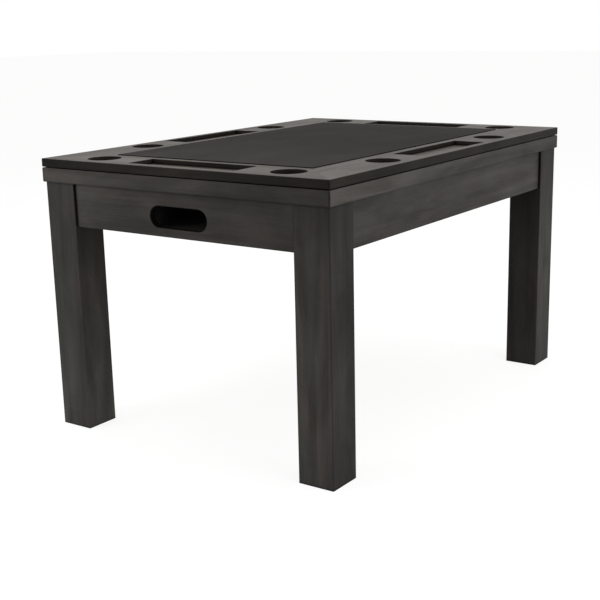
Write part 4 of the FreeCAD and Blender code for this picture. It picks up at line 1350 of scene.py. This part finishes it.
@dataclass
class Pockets(Assembly):
    """The lined pockets and the ball boxes under them."""

    bore: float = 31 * MM
    wall: float = 2.8 * MM
    flange: float = 4.2 * MM
    flange_tall: float = 1.5 * MM
    liner_round: float = 0.9 * MM
    box_ease: float = 0.8 * MM

    def build(self) -> None:
        """Turn the liners and dress the boxes."""
        black = FINISH.box_plastic.material()
        for end in ENDS:
            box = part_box(f"pocket_liner_{end}")
            tall, outer = box[1].z - box[0].z, self.bore + self.wall
            ledge, rim = tall - self.flange_tall, outer + self.flange
            wall = [(self.bore, 0), (outer, 0), (outer, ledge)]
            profile = wall + [(rim, ledge), (rim, tall), (self.bore, tall)]
            liner = lathe(rounded(profile, self.liner_round, steps=5), 96, closed=True)
            spots = [base_of(box)]
            self.make(f"pocket_lining_{end}", [liner], black, "moulded_black", f"pocket_liner_{end}", spots)
            self.dress(f"ball_box_{end}", black, self.box_ease)


@dataclass
class Fasteners(Assembly):
    """Bolts, nuts and screws, and the pads that the top lies on, whose dish is in shares of their radius."""

    turned_ease: float = 0.25 * MM
    bolt_radius: float = 4 * MM
    bolt_pitch: float = 1.25 * MM
    bolt_thread: float = 0.6 * MM
    block_reach: float = 100 * MM
    screw_radius: float = 2 * MM
    tip_radius: float = 0.5 * MM
    tip_tall: float = 4 * MM
    neck_tall: float = 1 * MM
    sunk: float = 0.05 * MM
    head_radius: float = 4 * MM
    head_tall: float = 2.4 * MM
    slot: float = 0.6 * MM
    pad_round: float = 0.35 * MM
    dish_deep: float = 0.35 * MM
    dish_rim: float = 0.72
    dish_floor: float = 0.66

    def build(self) -> None:
        """Dress the turned steel, and make the threads, the recesses and the pads."""
        for name in ("leg_inserts", "leg_nuts", "rail_bolts"):
            self.dress(name, FINISH.steel.material(), self.turned_ease)
        self._leg_bolts()
        self._wood_screws("box_screws", Vector((0, 0, -1)))
        self._wood_screws("cleat_screws", None)
        self._rest_pads()

    def _leg_bolts(self) -> None:
        """Rods through the corner blocks, threaded all along."""
        boxes = self.parts("leg_bolts")
        spots = []
        for corner in Corner:
            block = middle(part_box(f"corner_block_{corner}"))
            turn = math.atan2(-math.copysign(1, block.y), -math.copysign(1, block.x))
            lying = Matrix.Rotation(turn, 4, "Z") @ Matrix.Rotation(math.radians(90), 4, "Y")
            near = [middle(box) for box in boxes if (middle(box).xy - block.xy).length < self.block_reach]
            spots += [Matrix.Translation(spot) @ lying for spot in near]
        low, high = boxes[0]
        half = ((high - low).xy.length - self.bolt_radius * 2) / 2
        rod = thread(self.bolt_radius, self.bolt_thread, self.bolt_pitch, -half, half)
        self.make("leg_bolt_set", [rod], FINISH.steel.material(), "steel", "leg_bolts", spots)

    def _wood_screws(self, name: str, way: Vector | None) -> None:
        """Pan-headed screws with a cross recess.

        Args:
            name: the CAD node that they stand for.
            way: the way that their heads look, or None for inwards along Y.
        """
        spots = []
        for low, high in self.parts(name):
            looks = way or Vector((0, -math.copysign(1, low.y), 0))
            length = max(high - low)
            turn = looks.to_track_quat("Z", "Y").to_matrix().to_4x4()
            spots.append(Matrix.Translation(middle((low, high)) + looks * length / 2) @ turn)
        neck = -self.head_tall
        shank = lathe([
            (0, -length),
            (self.tip_radius, -length),
            (self.screw_radius, self.tip_tall - length),
            (self.screw_radius, neck - self.neck_tall),
            (self.screw_radius, neck + self.sunk),
        ], 20)
        head = cross_head(self.head_radius, self.head_tall, self.slot, neck)
        self.make(f"{name}_cut", [shank, head], FINISH.steel.material(), "steel", name, spots)

    def _rest_pads(self) -> None:
        """Rubber pads on the rails, dished on top."""
        boxes = self.parts("rest_pads")
        low, high = boxes[0]
        radius, tall = (high.x - low.x) / 2, high.z - low.z
        rim, floor, dish = self.dish_rim * radius, self.dish_floor * radius, tall - self.dish_deep
        profile = [(0, 0), (radius, 0), (radius, tall), (rim, tall), (floor, dish), (0, dish)]
        pad = lathe(rounded(profile, self.pad_round, closed=False), 40)
        rubber, spots = FINISH.pad_rubber.material(), [base_of(box) for box in boxes]
        pads = self.make("rest_pad_set", [pad], rubber, "pad_rubber", "rest_pads", spots)


@dataclass
class Levellers(Assembly):
    """A screw foot under each leg, which rides on a body of its own. The foot's profile is in millimetres."""

    foot: tuple[Point, ...] = ((0, 0), (20, 0), (20, 3.4), (11.5, 7), (0, 7))
    foot_round: float = 0.8 * MM
    stem_low: float = 6.9 * MM
    stem_radius: float = 4.9 * MM
    stem_thread: float = 0.75 * MM
    pitch: float = 1.5 * MM

    def build(self) -> None:
        """Turn each foot and cut its thread."""
        steel = FINISH.dark_steel.material()
        for corner in Corner:
            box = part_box(f"leveller_{corner}")
            foot = lathe(rounded(in_metres(self.foot), self.foot_round, closed=False), 64)
            tall = box[1].z - box[0].z
            stem = thread(self.stem_radius, self.stem_thread, self.pitch, self.stem_low, tall)
            self.make(
                f"screw_foot_{corner}", [foot, stem], steel, "steel_dark", f"leveller_{corner}",
                [base_of(box)], body=f"foot_{corner}",
            )


# Studio


@dataclass(frozen=True)
class SoftBox:
    """A rectangular lamp that hangs at a spot and faces an aim. Its power is in watts."""

    name: str
    spot: Triple
    aim: Triple
    size: Point
    power: float

    def hang(self) -> None:
        """Put the lamp into the scene."""
        data = bpy.data.lights.new(self.name, "AREA")
        data.shape = "RECTANGLE"
        data.size, data.size_y = self.size
        data.energy = self.power
        lamp = put(self.name, data)
        lamp.location = self.spot
        lamp.rotation_mode = "QUATERNION"
        lamp.rotation_quaternion = (Vector(self.aim) - Vector(self.spot)).to_track_quat("-Z", "Y")


@dataclass
class Studio:
    """A pale floor, soft light and the camera, which is aimed by yaw from +X, pitch down and roll."""

    camera_spot: Triple = (-2.902, -1.9745, 1.177)
    yaw: float = math.radians(35.38)
    pitch: float = math.radians(14.09)
    roll: float = math.radians(1.32)
    lens: float = 67.8
    sky: float = 0.46
    floor_half: float = 30.0
    floor_glow: float = 0.86
    shadow_grey: float = 0.24
    paper_grey: float = 0.58
    lamps: tuple[SoftBox, ...] = (
        SoftBox("key", (-0.4, -3.8, 1.5), (0.1, 0, 0.45), (3.2, 1.8), 50),
        SoftBox("overhead", (0.4, 0.5, 3.4), (0, 0, 0.6), (4.2, 3.4), 62),
        SoftBox("fill", (-3.2, 2.0, 1.5), (-0.3, 0.1, 0.4), (2.0, 1.6), 32),
    )

    def build(self) -> None:
        """Set up the whole studio."""
        self._world()
        self._floor()
        for lamp in self.lamps:
            lamp.hang()
        self._camera()
        bpy.context.scene.view_settings.view_transform = "Standard"

    def _seen(self, tree: NodeTree) -> Socket:
        """Whether a surface is seen.

        Args:
            tree: the tree that asks.

        Returns:
            A socket that is 1 for the camera, a reflection or a clear piece, and 0 for other light.
        """
        seen = tree.add("LightPath", {}, "Is Camera Ray")
        for ray in ("Is Glossy Ray", "Is Transmission Ray"):
            seen = tree.calc("MAXIMUM", seen, tree.add("LightPath", {}, ray))
        return seen

    def _world(self) -> None:
        """White behind the object, a plain grey sky for the light."""
        world = bpy.data.worlds.new("studio")
        bpy.context.scene.world = world
        tree = NodeTree(world)
        sky = tree.add("Background", {"Color": (1.0, 0.99, 0.98, 1), "Strength": self.sky})
        white = tree.add("Background", {"Color": (1, 1, 1, 1)})
        tree.show(tree.add("MixShader", {0: self._seen(tree), 1: sky, 2: white}), "World")

    def _floor(self) -> None:
        """A wide pale floor that shows white and keeps a soft shadow."""
        mesh = bmesh.new()
        bmesh.ops.create_grid(mesh, x_segments=1, y_segments=1, size=self.floor_half)
        data = bpy.data.meshes.new("studio_floor")
        mesh.to_mesh(data)
        mesh.free()
        material = bpy.data.materials.new("floor_paper")
        tree = NodeTree(material)
        paper = tree.add("BsdfDiffuse", {"Color": (self.paper_grey,) * 3 + (1,)})
        shadow = tree.add("BsdfDiffuse", {"Color": (self.shadow_grey,) * 3 + (1,)})
        glow = tree.add("Emission", {"Strength": self.floor_glow})
        both = tree.add("AddShader", {0: shadow, 1: glow})
        tree.show(tree.add("MixShader", {0: self._seen(tree), 1: paper, 2: both}))
        data.materials.append(material)
        put("studio_floor", data)

    def _camera(self) -> None:
        """The camera, turned as the studio says."""
        ahead = Vector((
            math.cos(self.yaw) * math.cos(self.pitch),
            math.sin(self.yaw) * math.cos(self.pitch),
            -math.sin(self.pitch),
        ))
        right = Vector((math.sin(self.yaw), -math.cos(self.yaw), 0))
        down = ahead.cross(right)
        level = math.cos(self.roll) * right + math.sin(self.roll) * down
        upright = math.sin(self.roll) * right - math.cos(self.roll) * down
        data = bpy.data.cameras.new("camera")
        data.lens = self.lens
        data.sensor_width = 36
        data.clip_end = 200
        camera = put("camera", data)
        turned = Matrix((level, upright, -ahead)).transposed().to_4x4()
        camera.matrix_world = Matrix.Translation(self.camera_spot) @ turned
        bpy.context.scene.camera = camera


def main() -> None:
    """Build the table's looks, one assembly after another."""
    logging.basicConfig(level=logging.INFO, format="%(name)s: %(message)s")
    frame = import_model()
    nodes = frame["nodes"]
    for assembly in (GameTop, Frame, PoolBed, Bumpers, Pockets, Fasteners, Levellers):
        LOG.info("building %s", assembly.__name__)
        assembly(nodes).build()
    Studio().build()
    bpy.context.view_layer.update()


if __name__ == "__main__":
    main()
